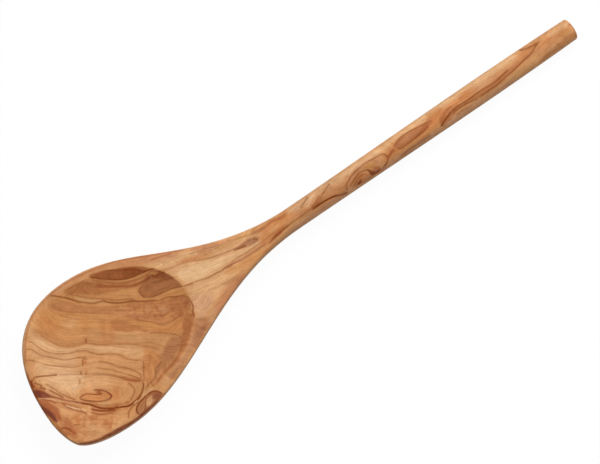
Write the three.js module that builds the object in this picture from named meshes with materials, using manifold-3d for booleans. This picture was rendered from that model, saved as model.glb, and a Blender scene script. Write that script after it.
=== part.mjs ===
// Corner spoon for stirring, carved from one piece of olive wood: a round handle, a neck that fans out into
// a flat head with one rounded corner, and a shallow egg-shaped hollow cut into the head.
// Millimetres, +Z up. The spoon lies as it does on a table, on the back of its bowl and the end of its
// handle.
import * as THREE from "three";
import { mergeVertices } from "three/addons/utils/BufferGeometryUtils.js";
import Module from "manifold-3d";

// Driving dimensions along the spoon. X = 0 is the middle of the bowl and +X runs up the handle.
const FRONT_REACH = 43; // middle of the bowl to the front edge
const NECK_REACH = 99; // middle of the bowl to the narrowest place of the neck
const HANDLE_LENGTH = 158; // narrowest place of the neck to the end of the handle
const SWELL_FROM_END = 52; // fullest place of the handle, from its end

// Driving dimensions across the spoon. Port is +Y, and the corner is on the starboard side.
const NECK_WIDTH = 10.8;
const SWELL_WIDTH = 11.7;
const HANDLE_END_WIDTH = 10.6;
const PORT_HALF_WIDTH = 35.2;
const PORT_WIDEST_AHEAD = 3; // widest place of the port side, ahead of the middle of the bowl
const STARBOARD_HALF_WIDTH = 36;
const STARBOARD_WIDEST_AHEAD = 14;
const FRONT_EDGE_OFFSET = 13; // most forward place of the front edge, towards starboard
const CORNER_BEHIND_FRONT = 3.5; // middle of the rounded corner, behind the front edge
const CORNER_OFFSET = 28.8; // the same place, towards starboard
const CORNER_SLANT = THREE.MathUtils.degToRad(120.5); // direction of the edge as it turns the corner
const CORNER_PULL = 4.6; // length of straight run that rounds the corner on either side

// Pulls of the outline's curves, as shares of their runs. A higher one holds the direction for longer.
const FRONT_TO_CORNER_PULL = 0.37;
const FRONT_TO_PORT_PULL = 0.66;
const PORT_TO_FRONT_PULL = 0.64;
const PORT_TO_NECK_PULL = 0.34;
const NECK_TO_PORT_PULL = 0.49;
const STARBOARD_TO_CORNER_PULL = 0.55;
const STARBOARD_TO_NECK_PULL = 0.32;
const NECK_TO_STARBOARD_PULL = 0.43;

// Heights above the table.
const RIM_EDGE_HEIGHT = 11; // lower arris of the rim's outer wall
const RIM_WALL = 4; // outer wall of the rim
const RIM_SLOPE = 0.03; // the rim climbs towards the front by this share
const NECK_AXIS_HEIGHT = 9.8;
const REST_FLAT_DEPTH = 0.4; // how deep the back of the bowl is sanded flat where it rests

// Roundness of the sections. A power of 2 is a circle, and a higher one is flatter with tighter edges.
const ROUND_POWER = 2;
const RIM_POWER = 6;
const HULL_FULLNESS = 0.9; // 0.5 is an ellipse and 1 a parabola
const TOP_FADE_TO = 35; // X where the round neck has become the flat top of the head
const KEEL_FADE_TO = 0; // X where the back of the neck has become the back of the bowl
const CORNER_TOP_ROUND = 5; // run over which the top rounds down to the corner
const CORNER_HULL_ROUND = 34; // run over which the back rounds up to the corner
const HANDLE_END_ROUND = 0.9; // softened arris of the handle's end

// The hollow, cut by an egg-shaped cutter whose equator stands above the rim.
const HOLLOW_NECK_RADIUS = 45.2; // its edge at rim height, from its middle to the neck
const HOLLOW_FRONT_RADIUS = 35;
const HOLLOW_SIDE_RADIUS = 30.2;
const HOLLOW_DEPTH = 10;
const HOLLOW_AHEAD = 5.3; // its middle, ahead of the middle of the bowl
const HOLLOW_OFFSET = 1.5; // the same place, towards port
const HOLLOW_LEAN = 11; // how far its front end bends to the corner
const CUTTER_HEIGHT = 24; // half the height of the egg-shaped cutter

// Fineness of the facets.
const HEAD_SECTIONS = 44;
const HANDLE_SECTIONS = 18;
const END_SECTIONS = 3;
const POINTS_AROUND = 40;
const CUTTER_SEGMENTS = 72;
const CORNER_CROWDING = 1.4; // above 1, sections lie closer together near the corner
const WELD_DISTANCE = 1e-4; // points nearer than this become one

const HANDLE_END_X = NECK_REACH + HANDLE_LENGTH;
const RIM_HEIGHT = RIM_EDGE_HEIGHT + RIM_WALL;
const NECK_RADIUS = NECK_WIDTH / 2;
const HANDLE_END_RADIUS = HANDLE_END_WIDTH / 2;

const { lerp, smoothstep } = THREE.MathUtils;

function point(x, y) {
  return new THREE.Vector2(x, y);
}

function bezier(...points) {
  return new THREE.CubicBezierCurve(...points);
}

function pathOf(...curves) {
  const path = new THREE.CurvePath();
  curves.forEach((curve) => path.add(curve));
  return path;
}

// The plan outline of the head as two rails, both from the corner to the neck.
function headRails() {
  const corner = point(CORNER_BEHIND_FRONT - FRONT_REACH, -CORNER_OFFSET);
  const along = point(Math.cos(CORNER_SLANT), Math.sin(CORNER_SLANT)).multiplyScalar(CORNER_PULL);
  const front = point(-FRONT_REACH, -FRONT_EDGE_OFFSET);
  const portWidest = point(-PORT_WIDEST_AHEAD, PORT_HALF_WIDTH);
  const starboardWidest = point(-STARBOARD_WIDEST_AHEAD, -STARBOARD_HALF_WIDTH);
  const portNeck = point(NECK_REACH, NECK_RADIUS);
  const starboardNeck = point(NECK_REACH, -NECK_RADIUS);

  const frontRun = CORNER_OFFSET - FRONT_EDGE_OFFSET;
  const portTurn = point(front.x - portWidest.x, portWidest.y - front.y);
  const portFlare = NECK_REACH - portWidest.x;
  const starboardTurn = corner.x - starboardWidest.x;
  const starboardFlare = NECK_REACH - starboardWidest.x;
  const port = pathOf(
    bezier(
      corner,
      corner.clone().add(along),
      point(front.x, front.y - frontRun * FRONT_TO_CORNER_PULL),
      front,
    ),
    bezier(
      front,
      point(front.x, front.y + portTurn.y * FRONT_TO_PORT_PULL),
      point(portWidest.x + portTurn.x * PORT_TO_FRONT_PULL, portWidest.y),
      portWidest,
    ),
    bezier(
      portWidest,
      point(portWidest.x + portFlare * PORT_TO_NECK_PULL, portWidest.y),
      point(portNeck.x - portFlare * NECK_TO_PORT_PULL, portNeck.y),
      portNeck,
    ),
  );
  const starboard = pathOf(
    bezier(
      corner,
      corner.clone().sub(along),
      point(starboardWidest.x + starboardTurn * STARBOARD_TO_CORNER_PULL, starboardWidest.y),
      starboardWidest,
    ),
    bezier(
      starboardWidest,
      point(starboardWidest.x + starboardFlare * STARBOARD_TO_NECK_PULL, starboardWidest.y),
      point(starboardNeck.x - starboardFlare * NECK_TO_STARBOARD_PULL, starboardNeck.y),
      starboardNeck,
    ),
  );
  return { corner, port, starboard };
}

// Half the width of the handle: a long swell between the neck and the end.
function handleHalfWidth(x) {
  const swellX = HANDLE_END_X - SWELL_FROM_END;
  if (x < swellX) return lerp(NECK_WIDTH, SWELL_WIDTH, smoothstep(x, NECK_REACH, swellX)) / 2;
  const along = (x - swellX) / SWELL_FROM_END;
  return lerp(SWELL_WIDTH, HANDLE_END_WIDTH, along * along) / 2;
}

// Height of the handle's middle line, which comes down to rest the end on the table.
function handleAxisHeight(x) {
  const along = (x - NECK_REACH) / HANDLE_LENGTH;
  return lerp(NECK_AXIS_HEIGHT, HANDLE_END_RADIUS, along);
}

// A rounded nose from 0 at its tip to 1 where it is full.
function nose(share, power, root) {
  const left = 1 - Math.min(1, share);
  return (1 - left ** power) ** root;
}

// One closed section of the spoon between a port and a starboard point. All its points lie over that line.
function section(port, starboard, radius, fromCorner) {
  const topNose = nose(fromCorner / CORNER_TOP_ROUND, RIM_POWER, 1 / RIM_POWER);
  const hullNose = nose(fromCorner / CORNER_HULL_ROUND, ROUND_POWER, HULL_FULLNESS);
  const ring = [];
  for (let i = 0; i < POINTS_AROUND; i++) {
    const angle = (2 * Math.PI * i) / POINTS_AROUND;
    const across = Math.cos(angle);
    const plan = point(0, 0).lerpVectors(starboard, port, (1 + across) / 2);
    const flat = 1 - smoothstep(plan.x, TOP_FADE_TO, NECK_REACH);
    const keel = 1 - smoothstep(plan.x, KEEL_FADE_TO, NECK_REACH);
    const rimEdge = RIM_EDGE_HEIGHT - RIM_SLOPE * Math.min(0, plan.x);
    const edge = lerp(handleAxisHeight(plan.x), rimEdge, flat);
    let height = edge;
    if (2 * i < POINTS_AROUND) {
      const power = lerp(ROUND_POWER, RIM_POWER, flat);
      const rise = lerp(radius, RIM_WALL, flat) * topNose;
      height += rise * (1 - Math.abs(across) ** power) ** (1 / power);
    } else {
      const drop = lerp(radius, rimEdge + REST_FLAT_DEPTH, keel) * hullNose;
      height -= drop * (1 - across ** 2) ** lerp(1 / ROUND_POWER, HULL_FULLNESS, keel);
    }
    ring.push(new THREE.Vector3(plan.x, plan.y, height));
  }
  return ring;
}

// All sections from the corner of the head to the end of the handle.
function spoonSections() {
  const { corner, port, starboard } = headRails();
  const rings = [];
  for (let i = 1; i <= HEAD_SECTIONS; i++) {
    const share = (i / HEAD_SECTIONS) ** CORNER_CROWDING;
    const a = port.getPointAt(share);
    const b = starboard.getPointAt(share);
    const fromCorner = point(0, 0).lerpVectors(a, b, 0.5).distanceTo(corner);
    rings.push(section(a, b, NECK_RADIUS, fromCorner));
  }
  const straight = HANDLE_LENGTH - HANDLE_END_ROUND;
  for (let i = 1; i <= HANDLE_SECTIONS; i++) {
    const x = NECK_REACH + (straight * i) / HANDLE_SECTIONS;
    const half = handleHalfWidth(x);
    rings.push(section(point(x, half), point(x, -half), half, Infinity));
  }
  for (let i = 1; i <= END_SECTIONS; i++) {
    const turn = (Math.PI / 2) * (i / END_SECTIONS);
    const x = HANDLE_END_X - HANDLE_END_ROUND * (1 - Math.sin(turn));
    const half = handleHalfWidth(x) - HANDLE_END_ROUND * (1 - Math.cos(turn));
    rings.push(section(point(x, half), point(x, -half), half, Infinity));
  }
  const cornerHeight = RIM_EDGE_HEIGHT - RIM_SLOPE * corner.x;
  return { rings, apex: new THREE.Vector3(corner.x, corner.y, cornerHeight) };
}

// A closed loft: a fan from the apex, a skin over the sections and a flat cap on the last one.
function loft({ rings, apex }) {
  const count = POINTS_AROUND;
  const last = rings.at(-1);
  const middle = new THREE.Vector3();
  last.forEach((p) => middle.addScaledVector(p, 1 / count));
  const vertices = [apex, ...rings.flat(), middle];
  const index = [];
  const at = (ring, i) => 1 + ring * count + (i % count);
  for (let i = 0; i < count; i++) {
    index.push(0, at(0, i + 1), at(0, i));
    for (let r = 0; r + 1 < rings.length; r++) {
      index.push(at(r, i), at(r + 1, i + 1), at(r + 1, i));
      index.push(at(r, i), at(r, i + 1), at(r + 1, i + 1));
    }
    index.push(vertices.length - 1, at(rings.length - 1, i), at(rings.length - 1, i + 1));
  }
  return new THREE.BufferGeometry().setFromPoints(vertices).setIndex(index);
}

// The egg-shaped cutter: a sphere stretched by different radii towards the neck and the front, with its
// front bent to the corner.
function hollowCutter() {
  const aboveRim = CUTTER_HEIGHT - HOLLOW_DEPTH;
  const shareAtRim = Math.sqrt(1 - (aboveRim / CUTTER_HEIGHT) ** 2);
  const egg = new THREE.SphereGeometry(1, CUTTER_SEGMENTS, CUTTER_SEGMENTS / 2).rotateX(Math.PI / 2);
  const positions = egg.attributes.position;
  for (let i = 0; i < positions.count; i++) {
    const along = positions.getX(i) / shareAtRim;
    const across = positions.getY(i) / shareAtRim;
    const bend = HOLLOW_LEAN * Math.min(0, along) ** 2;
    positions.setX(i, along * (along > 0 ? HOLLOW_NECK_RADIUS : HOLLOW_FRONT_RADIUS));
    positions.setY(i, across * HOLLOW_SIDE_RADIUS - bend);
    positions.setZ(i, positions.getZ(i) * CUTTER_HEIGHT);
  }
  return egg.translate(-HOLLOW_AHEAD, HOLLOW_OFFSET, RIM_HEIGHT + aboveRim);
}

// What the sanding takes off the back of the bowl: everything below the table.
function sandedAway() {
  const depth = 10 * REST_FLAT_DEPTH;
  const length = 2 * HANDLE_END_X;
  const width = 4 * STARBOARD_HALF_WIDTH;
  return new THREE.BoxGeometry(length, width, depth).translate(0, 0, -depth / 2);
}

const wasm = await Module();
wasm.setup();

function solidFrom(geometry) {
  const bare = geometry.clone();
  bare.deleteAttribute("normal");
  bare.deleteAttribute("uv");
  const merged = mergeVertices(bare, WELD_DISTANCE);
  return new wasm.Manifold(
    new wasm.Mesh({
      numProp: 3,
      vertProperties: merged.attributes.position.array,
      triVerts: new Uint32Array(merged.index.array),
    }),
  );
}

function geometryFrom(solid) {
  const mesh = solid.getMesh();
  const geometry = new THREE.BufferGeometry();
  geometry.setAttribute("position", new THREE.BufferAttribute(mesh.vertProperties, 3));
  geometry.setIndex(new THREE.BufferAttribute(mesh.triVerts, 1));
  geometry.computeVertexNormals();
  return geometry;
}

const carved = solidFrom(loft(spoonSections()))
  .subtract(solidFrom(hollowCutter()))
  .subtract(solidFrom(sandedAway()));

const oliveWood = new THREE.MeshStandardMaterial({ color: 0xc8935a, roughness: 0.55, metalness: 0 });
const carvedSpoon = new THREE.Mesh(geometryFrom(carved), oliveWood);
carvedSpoon.name = "carved_spoon";

// The origin is the middle of the spoon's footprint, on the table.
const box = new THREE.Box3().setFromObject(carvedSpoon);
const middle = box.getCenter(new THREE.Vector3());
carvedSpoon.position.set(-middle.x, -middle.y, -box.min.z);

const spoon = new THREE.Group();
spoon.name = "corner_spoon";
spoon.add(carvedSpoon);

export default spoon;
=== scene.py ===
"""Corner spoon carved from olive wood: its fine mesh, its grain, a pale studio and the camera."""

import logging
import math
from dataclasses import dataclass, field
from enum import Enum
from typing import Sequence

import bpy
import numpy as np
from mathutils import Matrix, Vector
from mathutils.bvhtree import BVHTree

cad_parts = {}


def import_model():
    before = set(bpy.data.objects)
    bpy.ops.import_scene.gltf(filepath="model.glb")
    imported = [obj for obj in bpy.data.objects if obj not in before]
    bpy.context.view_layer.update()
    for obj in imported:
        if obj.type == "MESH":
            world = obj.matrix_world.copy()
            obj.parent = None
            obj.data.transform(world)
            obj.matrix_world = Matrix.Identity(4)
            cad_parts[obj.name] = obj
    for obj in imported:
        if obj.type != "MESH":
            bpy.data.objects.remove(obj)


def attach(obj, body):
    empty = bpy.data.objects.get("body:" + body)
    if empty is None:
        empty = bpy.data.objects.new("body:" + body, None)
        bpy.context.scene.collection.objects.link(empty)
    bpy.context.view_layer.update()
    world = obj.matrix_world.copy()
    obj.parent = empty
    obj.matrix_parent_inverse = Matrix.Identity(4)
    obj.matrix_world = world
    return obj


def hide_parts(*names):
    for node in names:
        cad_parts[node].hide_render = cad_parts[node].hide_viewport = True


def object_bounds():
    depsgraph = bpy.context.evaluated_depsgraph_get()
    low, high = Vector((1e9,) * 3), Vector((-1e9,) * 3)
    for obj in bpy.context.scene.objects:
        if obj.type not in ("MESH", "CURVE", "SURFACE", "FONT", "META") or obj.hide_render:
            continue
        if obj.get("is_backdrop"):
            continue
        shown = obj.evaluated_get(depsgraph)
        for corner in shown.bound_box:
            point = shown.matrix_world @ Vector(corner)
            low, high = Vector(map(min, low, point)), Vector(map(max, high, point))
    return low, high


LOG = logging.getLogger("corner_spoon")
MM = 0.001
CURVE_POINTS = 400  # on each curve of the outline
FEWEST_POINTS = 6  # on the shortest row round the spoon
LATTICE = 256  # cells of random values in each direction
BATCH = 4000  # points whose growth years are found at once
TINY = 1e-9
WHITE = (1.0, 1.0, 1.0, 1.0)

Array = np.ndarray
Pixels = tuple[tuple[float, float], ...]
Colour = tuple[float, float, float]
Tree = bpy.types.NodeTree
Socket = bpy.types.NodeSocket
SocketValue = Socket | float | tuple[float, ...]


class Tone(Enum):
    """Tones of the oiled wood, as display colours from 0 to 255."""

    GROUND = (214, 156, 104)
    TAN = (228, 180, 130)
    CREAM = (240, 202, 158)
    HONEY = (218, 151, 90)
    AMBER = (204, 131, 76)
    ORANGE = (216, 139, 80)
    ROSE = (210, 158, 124)
    MAUVE = (180, 110, 78)
    BROWN = (170, 96, 54)
    UMBER = (156, 82, 44)
    CHESTNUT = (124, 56, 22)
    RUST = (176, 80, 38)
    OLIVE = (194, 138, 64)
    PLUM = (104, 42, 26)
    LINE = (122, 51, 5)

    @property
    def display(self) -> Array:
        """The display colour from 0 to 1."""
        return np.array(self.value) / 255.0


@dataclass(frozen=True)
class Line:
    """A growth line on the top of the spoon, or a line of painted shade along an edge.

    Attributes:
        name: What the line is.
        year: Growth year. Lines of one year lie on one ring.
        width: Width of the line in millimetres.
        depth: How far the wood takes the line's tone, 0 to 1.
        pixels: Points along the line, in pixels of the photograph.
        tone: Tone of the line.
        shaded: Whether the wood above the line, drawn from left to right, darkens towards it.
    """

    name: str
    year: float
    width: float
    depth: float
    pixels: Pixels
    tone: Tone = Tone.LINE
    shaded: bool = False


@dataclass(frozen=True)
class Patch:
    """A patch of wood of another tone, or of painted shade or light, in a closed outline on the spoon's top.

    Attributes:
        name: What the patch is.
        tone: Tone of the patch.
        depth: How far the wood takes that tone, 0 to 1.
        feather: Width of its soft edge in millimetres.
        pixels: Corners of the outline, in pixels of the photograph.
        mottle: Size in millimetres of the spots into which the patch breaks up. An even patch has 0.
        in_hollow: Whether the patch ends at the crisp edge of the hollow.
    """

    name: str
    tone: Tone
    depth: float
    feather: float
    pixels: Pixels
    mottle: float = 0.0
    in_hollow: bool = False


BOWL_PATCHES = (
    Patch("upper hollow", Tone.HONEY, 0.6, 0.4, (
        (60, 293), (70, 286), (80, 281), (88, 276), (94, 271), (102, 267), (112, 264), (125, 262),
        (136, 261), (147, 262), (158, 265), (169, 269), (178, 273), (185, 279), (190, 286), (195, 298),
        (198, 308), (198, 318), (180, 331), (120, 331), (70, 329), (36, 322), (46, 304)), in_hollow=True),
    Patch("left honey", Tone.HONEY, 0.5, 4.0, (
        (37, 311), (60, 313), (82, 316), (84, 330), (76, 341), (60, 341), (44, 334), (36, 326))),
    Patch("amber in the left", Tone.AMBER, 0.45, 3.0, (
        (38, 322), (48, 319), (57, 323), (56, 333), (46, 335))),
    Patch("light in the left", Tone.TAN, 0.6, 2.0, ((61, 320), (76, 319), (77, 326), (66, 328))),
    Patch("second curl", Tone.AMBER, 0.5, 1.0, ((101, 322), (105, 322), (106, 340), (102, 340))),
    Patch("third curl", Tone.AMBER, 0.55, 1.0, ((109, 324), (113, 324), (114, 339), (110, 339))),
    Patch("fourth curl", Tone.AMBER, 0.3, 1.2, ((84, 320), (88, 320), (89, 338), (85, 338))),
    Patch("belly", Tone.CREAM, 0.8, 3.0, (
        (39, 366), (60, 365), (76, 370), (86, 377), (86, 386), (68, 393), (52, 389), (40, 382))),
    Patch("light over the eye", Tone.TAN, 0.6, 2.5, (
        (91, 372), (106, 373), (110, 384), (98, 389), (91, 387))),
    Patch("light under the small patch", Tone.TAN, 0.4, 2.5, (
        (114, 335), (138, 335), (140, 345), (116, 345))),
    Patch("pale under the first line", Tone.CREAM, 0.5, 1.5, (
        (33, 341), (40, 338), (52, 345), (66, 350), (80, 348), (90, 346.5), (108, 347), (120, 348),
        (118, 352), (100, 352), (88, 349), (78, 349.5), (66, 352), (52, 351), (40, 346))),
    Patch("pale on the right of it", Tone.TAN, 0.7, 1.2, (
        (123, 348), (140, 349), (144, 353), (141, 358), (126, 356))),
    Patch("pale left of the bowl", Tone.CREAM, 0.45, 2.5, (
        (28, 330), (40, 336), (60, 346), (75, 351), (75, 366), (50, 364), (30, 359), (25, 345))),
    Patch("left edge band", Tone.ORANGE, 0.3, 1.0, ((24, 335), (30, 334), (32, 345), (31, 362), (25, 361))),
    Patch("strip over the lens", Tone.BROWN, 0.6, 0.4, (
        (88, 276), (95, 273.5), (103, 270), (110, 268.3), (120, 266.5), (128, 265.2), (135, 264.8),
        (143, 265.3), (150, 267), (157, 269), (164, 271.5), (150, 272), (140, 269), (125, 269.5),
        (105, 270.6)), in_hollow=True),
    Patch("lens below the rim", Tone.BROWN, 1.0, 0.4, (
        (88.8, 276.3), (96, 273.3), (105, 270.8), (115, 269.8), (125, 269.8), (132.5, 268.5),
        (147.5, 270.2), (140, 274), (132.5, 277.3), (125, 279), (117.5, 279.8), (107.5, 279.5),
        (97.5, 278.5))),
    Patch("dark end of the lens", Tone.CHESTNUT, 0.4, 0.6, (
        (124, 270), (134, 269), (146, 270), (139, 273.6), (131, 276.4), (123, 277))),
    Patch("orange below the lens", Tone.BROWN, 0.75, 0.7, (
        (92, 279.5), (107, 282), (120, 282.3), (131, 280.5), (141, 276.8), (151, 271.5), (148, 275.5),
        (140, 280), (130, 283.5), (119, 285), (108, 284.5), (97, 282.5))),
    Patch("second band", Tone.BROWN, 1.0, 0.8, (
        (98.8, 284), (109, 286), (120, 286), (130, 285.4), (137.5, 282.9), (143.8, 279.8), (150, 274),
        (148, 279.5), (142, 283.5), (131, 287.5), (120, 288.5), (108, 288), (97, 286.5))),
    Patch("left brown wedge", Tone.BROWN, 0.6, 0.8, (
        (64, 291), (70, 286.3), (80, 281.3), (86, 281.5), (93, 284), (101, 286.5), (112, 289), (120, 290.5),
        (110, 292.5), (102, 294), (94, 295), (84, 294), (74, 294.5))),
    # Partly brown wood, partly painted shade on the steep wall of the hollow by the neck, which faces away
    # from the light.
    Patch("brown patch by the neck", Tone.PLUM, 0.42, 0.45, (
        (141, 286), (147.5, 279.8), (151, 274.8), (155, 275), (158, 270), (163, 267), (170, 269),
        (177, 273), (184, 279), (188, 284.5), (181.5, 286.6), (172.5, 288.8), (165, 291.6), (158.8, 294.8),
        (152.5, 297.9), (145, 297.9), (140, 293.5), (138.8, 289.8)), in_hollow=True),
    Patch("light in the brown patch", Tone.AMBER, 0.35, 1.0, (
        (139, 293), (143, 285), (152, 279), (166, 281), (174, 286), (160, 293), (147, 298)), 1.3),
    Patch("dark top of that patch", Tone.CHESTNUT, 0.35, 0.7, (
        (151, 274.5), (157, 272), (164, 268), (172, 271), (178, 276), (172, 279.5), (166, 280),
        (158, 279)), in_hollow=True),
    Patch("orange wedge", Tone.HONEY, 0.6, 0.8, (
        (160, 297), (168, 292.5), (178, 289.5), (186, 288.5), (190, 295), (182, 294.5),
        (172, 296)), in_hollow=True),
    Patch("light over the mauve", Tone.TAN, 0.35, 1.0, (
        (80, 299), (100, 301), (112, 303), (110, 306), (92, 305), (80, 303))),
    Patch("mauve band", Tone.MAUVE, 0.4, 0.9, (
        (49, 304), (64.4, 302.5), (77.8, 305.6), (91, 306.7), (104, 308), (120, 306.7), (129, 305),
        (129, 317), (120, 315.6), (106.7, 313.9), (91, 313.3), (75.6, 312), (62, 310.6), (49, 310))),
    Patch("mauve patch", Tone.MAUVE, 0.5, 0.5, (
        (127, 303), (131.4, 301.4), (145.7, 300.7), (155.7, 300.3), (161.4, 298.6), (168.6, 296.9),
        (181.4, 295.7), (187, 297), (191.4, 301.4), (190, 310), (186, 316), (177, 317.9), (170, 322),
        (161.4, 324.7), (148.6, 321.7), (134.3, 319.3), (127, 317)), in_hollow=True),
    Patch("first light spot", Tone.ROSE, 0.6, 1.5, ((144, 307), (149, 304.5), (153, 308), (149, 312.5))),
    Patch("second light spot", Tone.ROSE, 0.6, 1.5, ((160, 308), (164, 304.5), (168.5, 308), (164, 312.5))),
    Patch("dark mottle of the mauve patch", Tone.UMBER, 0.4, 1.0, (
        (129, 304), (145, 302), (161, 300), (180, 297), (190, 303), (187, 315), (170, 321), (148, 320),
        (130, 316)), 1.3),
    Patch("mottle of the mauve patch", Tone.HONEY, 0.55, 1.0, (
        (127, 303), (145, 301), (161, 299), (180, 297), (190, 303), (186, 315), (170, 321), (148, 321),
        (128, 316)), 2.2),
    Patch("dark end of the mauve patch", Tone.UMBER, 0.2, 1.0, (
        (167, 300), (178, 297.5), (188, 299), (189, 306), (182, 312), (170, 310))),
    Patch("light streak under the mauve", Tone.HONEY, 0.6, 0.6, (
        (96, 315), (112, 316), (130, 318.5), (148, 323), (160, 326.5), (170, 324), (181, 317.5),
        (176, 322.5), (163, 328.5), (148, 326.5), (130, 322), (112, 319), (97, 317.5))),
    Patch("honey arm", Tone.ORANGE, 0.5, 1.0, (
        (150, 327), (165, 328), (178, 321), (183, 318), (183, 334), (170, 332.5), (155, 332))),
    Patch("small brown patch", Tone.BROWN, 0.45, 1.2, (
        (111, 320), (120, 320.5), (129, 322), (134, 324.3), (147, 330), (148.6, 332), (137, 329.3),
        (129, 331), (114, 329))),
    Patch("brown patch under the neck", Tone.PLUM, 0.3, 0.9, (
        (157, 356), (163, 352), (166, 345), (169, 338), (177, 336.5), (181.4, 339.3), (180.7, 347),
        (177, 352.9), (174.3, 358.6), (167, 365.7), (160, 372.9), (154.3, 381.4), (155.7, 370),
        (158, 362))),
    Patch("orange column", Tone.AMBER, 0.65, 1.0, (
        (144, 352), (150, 350), (157, 352), (160, 362), (155, 369), (153, 381), (147, 384), (144, 374))),
    Patch("right wall", Tone.BROWN, 0.65, 0.6, (
        (184, 318), (193, 312), (195, 318), (191.4, 331), (188, 344), (183, 354), (176, 364), (165, 374),
        (158, 384), (150, 388), (155, 381), (162, 372), (170, 364), (177, 354), (183, 338))),
    Patch("red band by the fifth line", Tone.BROWN, 0.65, 1.0, (
        (121, 376.5), (128, 376.5), (136, 377.5), (142, 379.5), (142, 382), (134, 382), (127, 380.8))),
    Patch("smear of the drying check", Tone.AMBER, 0.6, 0.8, (
        (79, 356), (86, 356), (88, 366), (86, 380), (86, 392), (80, 394), (79, 380), (78.5, 366)), 1.3),
    Patch("eye", Tone.ORANGE, 0.65, 0.6, (
        (80, 397), (86, 393.5), (95, 392.5), (103, 391), (112, 393), (110, 397), (105, 400), (97, 401.5),
        (87, 400.5))),
    Patch("dark lid of the eye", Tone.UMBER, 0.8, 0.4, (
        (96.5, 391.3), (100, 390.7), (101.5, 393.3), (98, 394.3))),
    Patch("dark corner of the eye", Tone.UMBER, 0.9, 0.4, (
        (106.5, 391.6), (110, 393.3), (112.8, 394.5), (112, 398.5), (109.5, 400), (110, 396.5))),
    Patch("glow beside the eye", Tone.AMBER, 0.8, 1.5, (
        (112, 389), (118, 388), (120, 394), (118, 400), (112, 401))),
    Patch("rosy bed of the eye", Tone.BROWN, 0.5, 0.6, (
        (90, 403.5), (98, 404.5), (108, 404), (118, 402.5), (124, 404), (114, 407), (100, 407.5),
        (92, 405.6))),
    Patch("bed of the eye", Tone.UMBER, 0.6, 0.5, (
        (91, 407.5), (96, 409), (103, 409), (110, 409), (117, 408.6), (112, 411), (104, 412), (97, 411.3),
        (92, 410))),
    Patch("red under the bed", Tone.BROWN, 0.5, 0.8, (
        (88.5, 416.5), (94, 415.5), (97.5, 418), (92, 420.5))),
    Patch("red spot by the ring", Tone.BROWN, 0.6, 0.6, (
        (125, 402.5), (127.5, 400.5), (130, 402), (127.5, 405))),
)

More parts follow.
